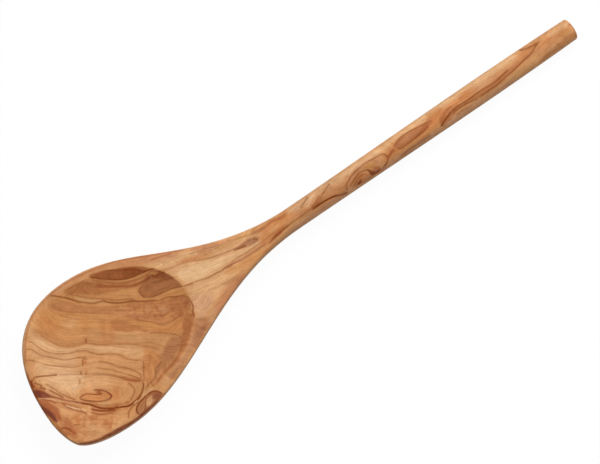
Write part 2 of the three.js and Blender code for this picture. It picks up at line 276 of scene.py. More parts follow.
TIP_PATCHES = (
    Patch("tip", Tone.AMBER, 0.5, 3.0, (
        (40, 400), (60, 405), (90, 415), (120, 412), (132, 414), (112, 430), (80, 441), (70, 438),
        (52, 420))),
    Patch("brown mottle of the tip", Tone.BROWN, 0.28, 2.0, (
        (60, 407), (80, 413), (104, 417), (112, 424), (100, 434), (80, 440), (66, 432), (56, 420)), 2.4),
    Patch("gold mottle of the tip", Tone.TAN, 0.45, 2.0, (
        (56, 408), (70, 410), (92, 417), (120, 415), (122, 426), (100, 436), (82, 438), (68, 426)), 1.9),
    Patch("fine mottle of the tip", Tone.UMBER, 0.3, 1.0, (
        (60, 416), (70, 416), (84, 418), (104, 418), (108, 428), (90, 436), (78, 440), (66, 431)), 1.2),
    Patch("light in the tip", Tone.TAN, 0.5, 2.0, ((86, 423), (102, 424), (104, 431), (88, 433))),
    Patch("brown corner", Tone.UMBER, 0.85, 0.8, (
        (30, 381), (34.5, 384), (39, 388), (45, 391.5), (41, 394), (35.5, 394), (32, 389.5))),
    Patch("plum edge", Tone.PLUM, 1.0, 0.4, (
        (32.5, 391), (38, 390.4), (44, 391.6), (51, 395), (60, 397.8), (70, 400.4), (85, 403.5),
        (85, 403.9), (70, 401.8), (60, 399.4), (50, 397.8), (44, 398.4), (38.5, 398.4), (35.5, 397.5))),
    Patch("brown under the plum", Tone.BROWN, 0.85, 0.7, (
        (36.5, 398), (42, 399), (47, 400.5), (49, 403), (46, 406), (41, 404))),
    Patch("rosy over the plum", Tone.ROSE, 0.6, 0.5, (
        (46, 389.5), (52, 391.5), (58, 394.5), (64, 397.2), (56, 395.5), (49, 393.3))),
    Patch("rust smear", Tone.UMBER, 0.9, 0.9, (
        (41, 404), (48, 403.5), (54, 406), (59, 411), (61.5, 419), (59, 421), (53, 416), (46, 411),
        (41.5, 407.5))),
    Patch("dark patch of the edge", Tone.PLUM, 1.0, 0.5, (
        (41.5, 407), (45, 407.5), (48.5, 409.5), (52.5, 413), (55.5, 417), (57.5, 421), (54.5, 420.5),
        (50.5, 417), (47.5, 415.5), (44.5, 412.5))),
    Patch("olive edge", Tone.OLIVE, 0.6, 0.5, (
        (50.5, 420.5), (54, 421.5), (58, 425.5), (61.5, 430), (59.5, 431), (55, 427), (51.5, 423))),
    Patch("rosy spot of the tip", Tone.CREAM, 0.45, 0.5, ((61, 423), (64, 421.5), (65, 426), (62, 427))),
    Patch("gold of the tip", Tone.TAN, 0.15, 0.8, (
        (60, 409.5), (67, 408.8), (71, 412.5), (68, 417), (62, 416.5))),
    Patch("red mottle of the tip", Tone.BROWN, 0.6, 1.0, (
        (60, 424), (66, 421), (72, 425), (76, 432), (74, 436), (66, 433))),
    Patch("pale patch of the tip", Tone.TAN, 0.35, 0.9, (
        (112.5, 424), (114, 418), (118, 413), (126, 411.5), (128, 415), (127, 421), (121, 426),
        (114, 428.5))),
    Patch("light under the eye", Tone.TAN, 0.6, 0.8, (
        (99, 404), (106, 402.5), (113, 401.5), (118, 400), (118, 402.5), (110, 405), (102, 406))),
    Patch("knot at the rim", Tone.PLUM, 0.37, 0.4, (
        (163, 394.5), (159, 391.8), (155, 391), (151, 392.2), (147, 395), (143, 399), (139.5, 402.6),
        (137, 407), (136.6, 411), (139, 414.6), (142, 415.5), (150, 408), (157, 400.5), (162, 395.5))),
    Patch("heart of the knot", Tone.TAN, 0.75, 0.5, (
        (145.8, 403), (146.5, 398.5), (149.5, 395), (152.5, 394.5), (152, 398), (152, 402), (149, 405.5))),
    Patch("plum end of the knot", Tone.PLUM, 0.5, 0.5, (
        (152.5, 394), (156, 391.4), (161, 393), (160, 396.5), (156, 399.5), (153, 398))),
    # Painted shade: the outer wall of the rim at the lower right, which faces away from the lamp.
    Patch("dark edge of the rim", Tone.PLUM, 0.82, 0.4, (
        (80, 443.4), (90, 441.2), (100, 437.4), (110, 432.4), (120, 427.4), (130, 421.4), (135, 418.4),
        (140, 414.8), (146, 410), (152, 404.6), (158, 398.6), (162, 394.4), (167, 394), (160, 404),
        (150, 414), (138, 425), (125, 434), (112, 441), (100, 445.5), (88, 447), (80, 446))),
)

NECK_PATCHES = (
    Patch("pale neck", Tone.CREAM, 0.4, 2.5, (
        (150, 256), (200, 247), (250, 231), (262, 238), (240, 264), (222, 290), (206, 314), (196, 318),
        (192, 300), (184, 286), (168, 272))),
    Patch("tan of the upper land", Tone.TAN, 0.45, 1.0, (
        (146, 266), (156, 260.5), (168, 257), (182, 253.5), (196, 251), (186, 257), (176, 262),
        (166, 267.5), (156, 268))),
    Patch("upper land", Tone.MAUVE, 0.4, 1.0, (
        (118, 263), (140, 257), (160, 255), (178, 251.5), (176, 257), (160, 261), (140, 263.5),
        (122, 266.5))),
    Patch("left land", Tone.ROSE, 0.5, 1.0, (
        (44, 299), (52, 288), (64, 279), (76, 272.5), (74, 279), (64, 288))),
    Patch("upper left land", Tone.MAUVE, 0.3, 1.0, (
        (74, 277), (84, 271), (100, 266.5), (118, 263.5), (118, 267), (100, 271), (84, 277), (74, 283))),
    # Painted highlight: a pale band along the rounded upper left edge of the head, where the oiled edge
    # catches a sheen.
    Patch("pale edge of the head", Tone.CREAM, 0.45, 0.7, (
        (19, 356), (21, 336), (27, 317), (36, 302), (48, 287), (64, 275), (82, 266), (100, 260), (101, 262),
        (84, 268), (67, 278.5), (52, 290), (40, 305), (31.5, 320), (26.5, 338), (25.5, 356))),
    Patch("orange band", Tone.AMBER, 0.65, 0.8, (
        (176, 264.5), (182, 259.5), (192, 257), (202, 254), (211, 252.5), (208, 256.5), (200, 259),
        (190, 260.8))),
    Patch("brown in the upper neck", Tone.MAUVE, 0.35, 0.6, (
        (197, 252), (202, 249.5), (210, 249.5), (211, 252), (206, 254.5), (199, 255))),
    Patch("upper neck edge", Tone.MAUVE, 0.5, 0.8, (
        (190, 250), (200, 246), (212, 243.5), (224, 240), (236, 236), (234, 238.5), (226, 242.5),
        (216, 246.5), (206, 249.5))),
    Patch("gold of the upper neck", Tone.OLIVE, 0.3, 0.8, (
        (216, 248), (226, 243.5), (238, 236.5), (252, 230.5), (254, 232.5), (244, 237.5), (234, 242.5),
        (222, 249))),
    Patch("cream of the neck", Tone.CREAM, 0.65, 0.8, (
        (177, 274), (185, 268), (193, 264.5), (205, 261.5), (220, 257.5), (232, 254), (240, 251),
        (236, 256.5), (228, 261.5), (220, 266.5), (212, 271), (203, 277), (194, 281), (186, 283.5),
        (180, 279))),
    Patch("honey of the neck", Tone.TAN, 0.65, 0.9, (
        (190, 287), (205, 282), (220, 276), (234, 270), (232, 277), (220, 283.5), (208, 290),
        (196, 294.5))),
    Patch("gold by the main line", Tone.HONEY, 0.7, 0.8, (
        (226, 270), (236, 264.5), (246, 259.5), (256, 253), (263, 248), (262, 256), (254, 262), (244, 268),
        (234, 272.5), (226, 275.5))),
    Patch("mauve band of the neck", Tone.MAUVE, 0.6, 0.5, (
        (224, 268.2), (230, 264), (238, 260), (246, 255), (254, 249), (262, 243.2), (270, 237.5),
        (271, 239.5), (262, 246.5), (254, 252), (246, 257), (238, 261.5), (230, 266))),
    Patch("plum spot", Tone.PLUM, 0.5, 0.4, (
        (233, 250), (239, 245.5), (244, 242), (248, 239.2), (252, 237.8), (256, 236.2), (259.5, 238),
        (257, 242), (251, 246), (245, 248), (239, 249.5))),
    Patch("red of the lower neck", Tone.MAUVE, 0.5, 1.2, (
        (214, 307), (220, 297), (225, 288), (233, 280), (241, 275), (244, 277), (238, 287), (232, 295),
        (226, 304), (217, 315))),
    Patch("orange of the lower neck", Tone.ROSE, 0.5, 1.0, (
        (207, 319), (212, 309), (218, 306), (217, 313), (211, 323))),
    Patch("pale by the hollow", Tone.ROSE, 0.6, 1.2, (
        (194, 297), (204, 294), (213, 298), (210, 309), (205, 318), (200, 320), (196, 316))),
    Patch("brown on the right land", Tone.PLUM, 0.28, 1.6, (
        (194, 321), (199, 316.5), (206, 316), (209, 321), (204, 331), (198, 338), (193, 334))),
    Patch("outer edge of the right land", Tone.PLUM, 0.3, 0.9, (
        (210, 322), (204, 334), (194, 350), (184, 365), (172, 380), (169, 377), (178, 363), (188, 347),
        (198, 331))),
    Patch("right land", Tone.ROSE, 0.3, 0.8, (
        (196, 332), (202, 331), (192, 350), (180, 366), (166, 384), (160, 388), (170, 373), (183, 354),
        (190, 343))),
)

HANDLE_PATCHES = (
    # Painted light: the upper side of the handle is made paler, where light falls on it and a sheen shows.
    Patch("pale upper side of the handle", Tone.CREAM, 0.75, 1.2, (
        (290, 206), (330, 179), (370, 151), (410, 124), (450, 96), (490, 69), (512, 54), (515, 60),
        (493, 75), (453, 102), (413, 130), (373, 157), (333, 185), (293, 212))),
    # Painted light: the lower side of the handle is made paler and rosier, as if lit by light thrown back
    # from the pale floor.
    Patch("rosy lower side of the handle", Tone.ROSE, 0.7, 0.7, (
        (290, 234), (330, 206), (370, 179), (410, 152), (450, 125), (490, 98), (515, 81), (513, 78),
        (488, 94.5), (448, 121.5), (408, 148.5), (368, 175.5), (328, 202.5), (288, 230.5))),
    Patch("orange zone of the root", Tone.AMBER, 0.7, 1.5, (
        (258, 238), (264, 229), (272, 221), (284, 214.5), (294, 212.5), (296, 216), (290, 223), (284, 230),
        (276, 238), (268, 244), (262, 246))),
    Patch("upper edge of the root", Tone.BROWN, 0.25, 0.8, (
        (252, 231), (262, 226.5), (272, 219.5), (284, 213.5), (289, 213), (284, 217), (274, 222.5),
        (264, 229.5), (255, 233))),
    Patch("pale fleck of the root", Tone.TAN, 0.5, 0.6, (
        (270, 230.5), (273, 227), (278, 223.5), (279, 225.5), (275, 229), (271, 232))),
    Patch("brown at the root", Tone.BROWN, 0.75, 0.8, (
        (277, 231), (281, 227.5), (286, 225.5), (291, 224), (288, 228), (284, 231), (281, 235), (275, 239),
        (270, 242), (272, 238))),
    Patch("dark heart of the root", Tone.UMBER, 0.6, 0.5, (
        (272, 238.5), (276, 234), (281, 231.5), (282, 233), (277, 237), (273, 240))),
    Patch("gold under the root", Tone.AMBER, 0.6, 0.8, (
        (262, 252), (267, 247), (274, 241.5), (276, 243.5), (270, 249), (264, 254))),
    Patch("rosy under the root line", Tone.TAN, 0.35, 0.8, (
        (298, 222), (304, 216), (312, 211), (313, 213.5), (306, 219), (300, 224))),
    Patch("plum fleck", Tone.ROSE, 0.5, 0.4, (
        (300, 208.6), (301.5, 205), (303.5, 203.5), (303.5, 206.5), (301.8, 209))),
    Patch("brown triangle", Tone.BROWN, 0.8, 0.5, (
        (310.5, 209.5), (314, 205), (318, 199), (319.5, 197.5), (319.5, 203), (315.5, 207.5))),
    Patch("pale by the first arc", Tone.CREAM, 0.6, 0.6, (
        (293, 211), (298, 205.5), (303, 201), (304, 203), (299, 208), (295, 212))),
    Patch("pale between the arcs", Tone.CREAM, 0.8, 0.6, (
        (304.5, 206), (307, 200.5), (311, 196), (314, 195), (311.5, 201), (309, 206.5))),
    Patch("pale by the third arc", Tone.TAN, 0.4, 0.8, (
        (322, 198), (325, 191.5), (329, 187), (332, 190), (328, 195))),
    Patch("red before the ring", Tone.BROWN, 0.2, 1.2, (
        (334, 194.5), (338, 189), (345, 185), (346, 189), (346.5, 192.5), (340, 194))),
    Patch("pale before the ring", Tone.CREAM, 0.5, 1.5, (
        (332, 184), (340, 174), (348, 169), (349, 174), (345, 182), (338, 187))),
    Patch("pale over the ring", Tone.CREAM, 0.7, 1.0, (
        (344, 173), (352, 167), (362, 160), (372, 154), (377, 151.5), (378, 154.5), (366, 161),
        (354, 169.5), (347, 175))),
    Patch("band of the ring", Tone.ROSE, 0.35, 0.7, (
        (346.5, 188), (347, 183), (349.5, 177.5), (353, 172.5), (358, 168.5), (359, 170), (355, 174),
        (352, 178.5), (350.5, 183), (349, 188))),
    Patch("rosy in the ring", Tone.ROSE, 0.5, 0.6, (
        (360, 171), (363, 168), (367, 167.5), (367, 169.5), (362, 171.8))),
    Patch("handle eye", Tone.BROWN, 0.55, 0.6, (
        (352, 187.5), (355, 181), (359, 175.5), (363, 173), (369, 173), (374, 174), (371, 178.5),
        (363, 183), (356, 187))),
    Patch("gold in the handle eye", Tone.ORANGE, 0.5, 0.6, (
        (357, 180), (360, 175.5), (365, 174), (364, 177.5), (360, 181))),
    Patch("gold of the ring", Tone.OLIVE, 0.7, 0.6, (
        (364, 168), (368, 164.5), (374, 163), (375, 165.5), (371, 168.5), (366, 169))),
    Patch("red mark in the gold", Tone.RUST, 0.55, 0.4, (
        (373.5, 168), (376, 166), (380, 166.5), (381, 168.5), (376, 169.5))),
    Patch("rosy end of the ring", Tone.ROSE, 0.35, 0.6, (
        (376, 162.5), (379, 158.5), (384, 157), (385.5, 160), (383, 164), (378, 165))),
    Patch("dark wedge", Tone.CHESTNUT, 1.0, 0.25, (
        (366, 169.5), (369, 169.4), (372, 170.8), (376, 171.3), (380, 170), (377, 173.3), (373, 176),
        (369.5, 174.5), (368, 171.5))),
    Patch("brown right of the wedge", Tone.UMBER, 0.35, 0.5, (
        (375, 172.5), (380, 169.5), (384, 168), (381, 171), (376, 174.5))),
    Patch("dark spot", Tone.CHESTNUT, 1.0, 0.3, (
        (356.8, 184.6), (358.6, 180.8), (361.6, 178.8), (362, 181.6), (359.8, 184.6))),
    Patch("dark end of the ring", Tone.CHESTNUT, 0.7, 0.4, (
        (384, 165.5), (386, 162), (388.5, 159.5), (388, 162.5), (385.5, 166))),
    Patch("rust by the ring", Tone.RUST, 0.65, 0.6, (
        (386.5, 159), (389, 154.5), (393, 149.5), (395.5, 148.5), (393, 153), (390, 158))),
    Patch("amber round the lens", Tone.AMBER, 0.85, 1.5, (
        (385, 154), (393, 143), (402, 136), (412, 129.5), (424, 122), (436, 113.5), (448, 104), (458, 97),
        (466, 93), (466, 98), (457, 106), (446, 114), (440, 124), (432, 131), (422, 138), (412, 144),
        (402, 151), (392, 158), (380, 165))),
    Patch("mauve lens", Tone.PLUM, 0.34, 0.6, (
        (393.8, 147.5), (396, 143), (400, 138), (405, 134), (410, 131), (415, 128.5), (420, 126),
        (427, 122), (432, 120.5), (429.5, 125), (425, 130), (420, 134), (415, 138), (410, 142), (406, 145),
        (402, 148), (396.5, 149.5))),
    Patch("rosy heart of the lens", Tone.ROSE, 0.4, 0.8, (
        (399, 144), (404, 138.5), (411, 134), (419, 130), (415, 135), (407, 141.5))),
    Patch("orange end of the lens", Tone.BROWN, 0.85, 0.5, (
        (420, 129), (425, 124.5), (432, 120.5), (431, 123.5), (426, 129), (421, 132.5))),
    Patch("amber under the lens", Tone.AMBER, 0.5, 0.8, (
        (404, 152), (412, 145.5), (422, 137), (432, 130), (440, 124), (439, 128), (430, 134.5), (420, 141),
        (410, 148), (405, 153))),
    Patch("gold of the handle", Tone.AMBER, 0.8, 1.2, (
        (426, 119), (432, 112), (439, 107.5), (442, 109), (439, 117), (433, 125), (430, 124))),
    Patch("red by the dark streak", Tone.BROWN, 0.9, 0.8, (
        (439, 121), (442, 114), (448, 108), (452, 106.5), (450, 110), (446, 116.5), (441, 124))),
    Patch("brown round the node", Tone.BROWN, 0.6, 1.0, (
        (440, 124), (444, 116), (450, 109), (457, 104), (459, 108), (455, 114), (449, 121), (443, 127))),
    Patch("dark node", Tone.UMBER, 1.0, 0.5, (
        (440.5, 126.5), (442.5, 122), (446, 118), (448.5, 114), (451, 110.5), (454, 107.5), (454, 109.5),
        (451.5, 113), (449, 117), (445.5, 121), (442.5, 125.5))),
    Patch("rosy under the node", Tone.ROSE, 0.4, 0.8, (
        (446, 125), (451, 118), (458, 111), (468, 105.5), (476, 100.5), (477, 103), (468, 109.5),
        (458, 117), (450, 123.5))),
    Patch("brown of the long streaks", Tone.BROWN, 0.55, 0.8, (
        (455, 108.5), (464, 102), (474, 95), (483, 88), (492, 83), (502, 75), (510, 68.5), (518, 62),
        (525, 57), (531, 51.5), (533, 52), (527, 58.5), (520, 65.5), (512, 73), (503, 80.5), (493, 88),
        (483, 94.5), (473, 100.5), (462, 107), (456, 111))),
    Patch("tan by the long streaks", Tone.TAN, 0.15, 1.0, (
        (506, 80), (514, 72), (523, 63.5), (532, 56), (540, 50), (543, 51), (534, 60), (524, 69),
        (514, 77.5), (508, 82))),
    Patch("pale top of the handle", Tone.TAN, 0.55, 1.5, (
        (440, 105), (446, 99.5), (454, 95), (460, 93), (458, 97.5), (450, 102.5), (443, 107))),
    Patch("orange top", Tone.ORANGE, 0.4, 1.0, ((461, 98), (466, 90), (473, 86.5), (473, 93), (467, 98))),
    Patch("pale flecks", Tone.CREAM, 0.5, 0.8, (
        (476, 90), (479, 84), (484, 80), (491, 77.5), (490, 81), (484, 86), (479, 90))),
    Patch("second pale top", Tone.TAN, 0.5, 1.2, (
        (490, 75), (498, 68.5), (508, 62.5), (515, 58.5), (514, 62), (506, 68), (497, 73.5))),
    Patch("orange by the edge streak", Tone.ORANGE, 0.45, 0.8, (
        (514, 64), (519, 56), (526, 51), (533, 47.5), (531, 52), (524, 58))),
    Patch("orange of the end", Tone.AMBER, 0.65, 1.0, (
        (538, 47), (542, 42), (549, 37.5), (556, 34.5), (554, 38.5), (546, 44.5))),
    Patch("pale stripe to the end", Tone.TAN, 0.35, 0.8, (
        (534, 57), (543, 48), (553, 40), (557, 38.5), (549, 46.5), (540, 55))),
    Patch("brown at the end", Tone.BROWN, 0.4, 0.8, (
        (538, 64), (545, 55), (553, 48.5), (561, 40), (568, 34.5), (575, 33), (575, 37), (564, 45),
        (552, 54), (543, 61))),
    Patch("rosy at the end", Tone.ROSE, 0.5, 0.6, (
        (547, 51.5), (552, 45.5), (557, 43.5), (555, 47), (550, 51.5))),
    Patch("gold at the end", Tone.OLIVE, 0.4, 1.0, (
        (557, 34), (562, 29), (568, 28.5), (569, 32), (563, 35.5))),
    Patch("pale end", Tone.CREAM, 0.8, 1.2, (
        (548, 35), (556, 28.5), (565, 22), (569, 25), (560, 30.5), (552, 35.5))),
    Patch("brown round the ring", Tone.PLUM, 0.21, 2.0, (
        (291, 208), (310, 192), (330, 178), (350, 164), (368, 152), (378, 156), (380, 168), (360, 182),
        (340, 197), (320, 210), (303, 220), (296, 215))),
    Patch("brown end half", Tone.UMBER, 0.33, 2.0, (
        (461, 96), (490, 76), (520, 56), (550, 35), (562, 27), (569, 30), (560, 39), (550, 48), (540, 56),
        (533, 55), (520, 62), (500, 76), (480, 90), (465, 99))),
)

BOWL_LINES = (
    Line("top of the lens", 27.3, 0.5, 0.5, (
        (88.8, 276), (96, 273.3), (105, 270.8), (115, 269.8), (125, 269.8), (132.5, 268.5), (140, 269.5))),
    Line("foot of the lens", 27.9, 0.5, 0.65, (
        (88.8, 276.6), (97.5, 278.5), (107.5, 279.5), (117.5, 279.8), (125, 279), (132.5, 277.3),
        (140, 274), (147.5, 270.4), (155, 268.3))),
    Line("red lip", 26.9, 0.8, 0.3, ((118, 268.4), (126, 267.2), (134, 266.9), (145, 267.8)), Tone.RUST),
    Line("second line", 28.6, 0.5, 0.3, (
        (84, 283.5), (92, 283.2), (98.8, 284), (109, 286), (120, 286), (130, 285.4), (137.5, 282.9),
        (143.8, 279.8), (147.5, 276), (150, 274))),
    Line("left side of the brown patch", 28.9, 0.5, 0.45, (
        (151, 274.8), (147.5, 279.8), (141, 286), (138.8, 289.8), (140, 293.5),
        (145, 297.9)), Tone.CHESTNUT),
    Line("fork over the brown patch", 28.4, 0.6, 0.65, (
        (151, 274.5), (155, 276.4), (161, 273.3), (165, 272.6))),
    Line("line above the main line", 29.6, 0.45, 0.38, (
        (63.8, 292.3), (71, 294.8), (78.8, 296), (90, 297.9), (102.5, 299), (113.8, 300), (125, 299.5),
        (135, 299))),
    Line("main line of the bowl", 30.2, 0.6, 0.6, (
        (47.5, 297), (50, 295.8), (55, 296), (62.5, 297.3), (70, 299), (77.5, 301.6), (87.5, 302.9),
        (93.8, 303.3), (98.8, 302), (102.5, 301), (108.8, 302.3), (116, 303), (125, 302.3), (132.5, 301),
        (142.5, 301.3), (150, 300.8), (160, 300.4))),
    Line("light streak over the main line", 29.9, 0.8, 0.35, (
        (74, 297.5), (82, 299.4), (92, 300.6), (101, 299.8)), Tone.TAN),
    Line("end of the main line", 30.2, 0.5, 0.4, (
        (160, 300.2), (163, 298.4), (168.6, 296.7), (174.3, 296.9), (181.4, 295.5), (187, 296.8),
        (191, 301))),
    Line("upper edge of the mauve band", 30.8, 0.45, 0.2, (
        (51, 299.4), (64.4, 302), (77.8, 305.6), (91, 306.7), (104, 308), (120, 306.7))),
    Line("lower edge of the mauve band", 31.4, 0.45, 0.25, (
        (51, 305.6), (62, 310.6), (75.6, 312), (91, 313.3), (106.7, 313.9), (120, 315.6))),
    Line("honey line", 32.0, 0.45, 0.4, ((59, 315), (67.8, 317), (79, 319.4))),
    Line("lower edge of the mauve patch", 32.2, 0.5, 0.3, (
        (134.3, 319.3), (148.6, 321.7), (161.4, 324.7), (170, 322), (177, 317.9), (181.4, 315.7))),
    Line("edge of the small patch", 33.0, 0.45, 0.3, (
        (114, 329.2), (122, 329.6), (129, 330.6), (137, 329.6), (148, 332.4))),
    Line("line over the brown patch", 33.4, 0.55, 0.4, (
        (148.6, 332.9), (157, 332.6), (167, 333.3), (175.7, 334.6), (180.7, 337), (182, 340))),
    Line("first cathedral line", 34.4, 0.5, 0.22, (
        (31, 331), (39, 333.3), (44.4, 337.8), (51, 342), (57.8, 345.6), (65.6, 347), (73.3, 347),
        (80, 345.6), (84.4, 344), (89, 343.9), (97.8, 344.4), (109, 344.4), (122.9, 344.3), (134.3, 345),
        (145.7, 347), (154.3, 348.6), (161.4, 351.4)), shaded=True),
    Line("second cathedral line", 35.3, 0.5, 0.42, (
        (24.4, 341.7), (30, 341.7), (33.3, 343.3), (38.9, 347.8), (44.4, 351), (52, 353.3), (60, 353.9),
        (67.8, 353.6), (73.3, 352.2), (78.9, 351), (86.7, 351), (92, 352.8), (98.9, 354.4), (107.8, 353.9),
        (115.6, 354.2), (121, 355.6), (125.7, 358.2), (134.3, 360), (142.9, 360))),
    Line("third cathedral line", 35.9, 0.5, 0.37, (
        (24.4, 349.4), (31, 349.4), (36.7, 352.8), (42, 355.6), (50, 357.2), (57.8, 359), (64.4, 360),
        (70, 359.4), (76.7, 357.8), (82, 357.6), (88, 359.5))),
    Line("fourth cathedral line", 36.5, 0.5, 0.37, (
        (24, 360.2), (30, 360.2), (36.7, 361.7), (42, 363.3), (49, 365.3), (57.8, 366), (65.6, 366.9),
        (72, 367.6), (80, 366.4))),
    Line("right part of the fourth line", 36.4, 0.5, 0.42, (
        (97.8, 361), (104.4, 362), (111, 363.9), (116.7, 366.4), (123.3, 367.6), (128.6, 368.6),
        (135.7, 371.4), (140, 374.3), (142, 378.6))),
    Line("line above the fifth", 37.1, 0.45, 0.4, (
        (95.6, 367.8), (103, 368.9), (111, 369.4), (117.8, 371.7), (125.6, 373.9), (135.7, 377),
        (141.4, 379.3))),
    Line("fifth cathedral line", 37.6, 0.55, 0.75, (
        (32.5, 380), (35, 377.3), (42.5, 376.3), (50, 375.6), (57.5, 374.8))),
    Line("middle of the fifth line", 37.6, 0.45, 0.35, (
        (57.5, 374.8), (68, 374.5), (79, 374.4), (90, 373.8))),
    Line("right part of the fifth line", 37.6, 0.55, 0.45, (
        (90, 373.8), (100, 374), (111, 375), (118.8, 376.9), (126, 379.4), (132.5, 380.6), (142, 380.4))),
    Line("outer ring of the eye", 37.8, 0.6, 0.85, (
        (142, 380), (143.4, 384), (143, 389.5), (140.5, 395), (137, 399.3), (132.5, 403.5), (128, 406),
        (122, 406.9), (118, 407.6), (113, 408.3), (106, 408.4), (100, 407.9), (95, 406.4), (90, 404.6),
        (80, 403))),
    Line("dark place of the outer ring", 37.8, 1.0, 1.0, ((107, 409), (113, 408.5), (119, 407.2))),
    Line("middle ring of the eye", 38.5, 0.5, 0.5, (
        (127.5, 382.5), (132.5, 386), (134.8, 391), (133, 396), (130, 400.6))),
    Line("lid of the eye", 39.2, 0.5, 0.6, (
        (79.5, 397.5), (82.5, 395.7), (87, 393.9), (93, 394.4), (99, 394.3), (103, 393.5)), Tone.CHESTNUT),
    Line("ring of the eye", 39.2, 0.55, 0.7, (
        (93, 390.6), (97, 390), (102, 390.2), (106, 391.5), (109.5, 393.5), (111.3, 396), (110, 398.4),
        (107, 400), (103, 401), (97, 401.5), (90, 401), (84, 400.2), (80, 398.4),
        (79.5, 397.4)), Tone.CHESTNUT),
    Line("first bed line", 37.4, 0.55, 0.75, (
        (91, 409.3), (96, 410.4), (103, 411), (110, 410.4), (116, 408.8)), Tone.CHESTNUT),
    Line("second bed line", 37.0, 0.55, 0.75, (
        (91, 412), (96, 413.6), (100.5, 414.3), (106, 413.8), (112, 412), (116, 410.5)), Tone.UMBER),
)

TIP_LINES = (
    Line("corner of the fifth line", 37.7, 0.9, 1.0, (
        (33.5, 379), (31.5, 381.5), (31.5, 384), (33.5, 388))),
    Line("upper fine line", 38.2, 0.5, 0.75, ((33.8, 382.5), (40, 385), (42.5, 386.3))),
    Line("short dash", 38.1, 0.6, 0.9, ((39.4, 387.3), (42.5, 388.2), (45.6, 389.4))),
    Line("fine line over the plum", 38.15, 0.45, 0.5, (
        (45, 383.5), (50, 386.3), (55, 389.4), (60, 393.1), (67.5, 396.9), (76, 400))),
    Line("second fine line", 38.0, 0.45, 0.8, ((48.8, 390), (53.8, 392.5), (58.8, 395), (63.8, 398))),
    Line("streak below the plum", 37.3, 0.8, 0.9, (
        (41, 399), (48, 399.6), (53, 401.3), (57, 403)), Tone.UMBER),
    Line("upper red streak", 37.1, 0.55, 0.75, (
        (56, 400.2), (62, 403), (70, 405.2), (76, 407.2), (82, 409.8)), Tone.UMBER),
    Line("lower red streak", 37.0, 0.55, 0.55, (
        (62, 403.6), (67, 406.4), (72, 409), (78, 411), (84, 412.6), (87.5, 415)), Tone.CHESTNUT),
    Line("pale line under the plum", 37.35, 0.5, 0.28, (
        (39, 398.6), (44, 398.6), (50, 399.2), (56, 400.4), (61, 401.8)), Tone.CREAM),
    Line("rosy streak", 37.05, 0.6, 0.4, ((66, 405.4), (70, 406.8), (77, 409)), Tone.CREAM),
    # Painted shade: these two lines darken the rounded outer edge of the head, where it turns away from the
    # light.
    Line("dark left edge", 34.0, 0.9, 0.45, (
        (25.8, 371), (28.4, 379), (31, 386), (34.4, 393), (38, 399.5), (42.5, 406.5), (47.5, 413.5),
        (52.5, 420), (57.5, 426.5), (62.5, 432), (68, 437.5)), Tone.CHESTNUT),
    Line("dark upper edge", 33.8, 0.55, 0.45, (
        (25.8, 366), (25, 350), (26.5, 335), (30.5, 321), (36.8, 309.5), (48, 297.2), (61.6, 286),
        (78, 276.6), (94, 269.2), (111.4, 262.9), (128.8, 258.8), (146, 256.3), (170, 252.3),
        (190, 248.5)), Tone.UMBER),
    Line("first pale fleck", 36.9, 0.6, 0.36, ((81.5, 409.2), (86, 410.4)), Tone.CREAM),
    Line("second pale fleck", 37.0, 0.5, 0.36, ((77.5, 408.4), (80.5, 409.6)), Tone.CREAM),
    Line("third pale fleck", 36.7, 0.5, 0.36, ((87.5, 413.4), (91, 414.4)), Tone.CREAM),
    Line("fourth pale fleck", 37.5, 0.5, 0.36, ((88.5, 406.8), (91, 408.2)), Tone.CREAM),
    Line("edge line", 35.6, 0.6, 0.7, ((44, 409), (49, 413.5), (54, 418.5), (57.5, 422.5)), Tone.PLUM),
    Line("hook in the tip", 35.8, 0.6, 0.6, (
        (58.8, 430.2), (61.5, 428.8), (65, 428), (70, 429.6), (72, 432.3))),
    Line("second mottle", 35.7, 0.8, 0.5, ((72, 430.5), (75, 434.5)), Tone.UMBER),
    Line("reddish streak", 36.0, 0.9, 0.3, ((112, 416), (111.3, 423), (110, 429)), Tone.BROWN),
    Line("pale strip by the ring", 37.2, 0.9, 0.25, (
        (134.5, 403.6), (140, 399), (145, 394), (150, 389.6), (153.5, 387.6)), Tone.CREAM),
    Line("line to the rim", 36.8, 0.5, 0.55, (
        (142, 396), (136, 403), (131.5, 407.5), (129, 412), (128.5, 418))),
    Line("outline of the knot", 36.0, 0.55, 0.75, (
        (163, 394.3), (159, 391.8), (155, 391), (151, 392.2), (147, 395), (143, 399), (139.5, 402.6),
        (137, 407), (136.6, 411), (139, 414.6))),
    Line("line in the knot", 36.2, 0.45, 0.5, (
        (145, 410), (145.5, 405), (146, 400), (149, 395.6), (152.5, 393.6))),
    Line("olive line by the rim", 36.4, 0.7, 0.25, (
        (145.7, 388.6), (152.9, 385.7), (160, 387), (165.7, 390)), Tone.OLIVE),
    Line("line into the corner", 36.9, 0.5, 0.45, (
        (143, 360.4), (143.6, 364.3), (143.6, 372.9), (144.3, 381.4)), Tone.CHESTNUT),
    Line("upright line", 35.9, 0.5, 0.38, (
        (162.9, 361.4), (157.9, 365.7), (155.7, 368.6), (155.7, 374.3), (153.6, 380), (148.6, 384.3),
        (144.5, 390)), Tone.CHESTNUT),
    Line("first upright streak", 36.2, 0.5, 0.3, ((149.5, 352), (150.5, 359), (149, 366)), Tone.UMBER),
    Line("line of the right wall", 34.9, 0.5, 0.15, (
        (182.9, 318.6), (182.9, 337), (180, 350), (174, 361), (166, 371)), Tone.CHESTNUT),
    Line("dark edge of the hollow", 31.0, 0.5, 0.7, (
        (190, 300), (192.9, 305.7), (193, 312.9), (194.6, 317))),
)

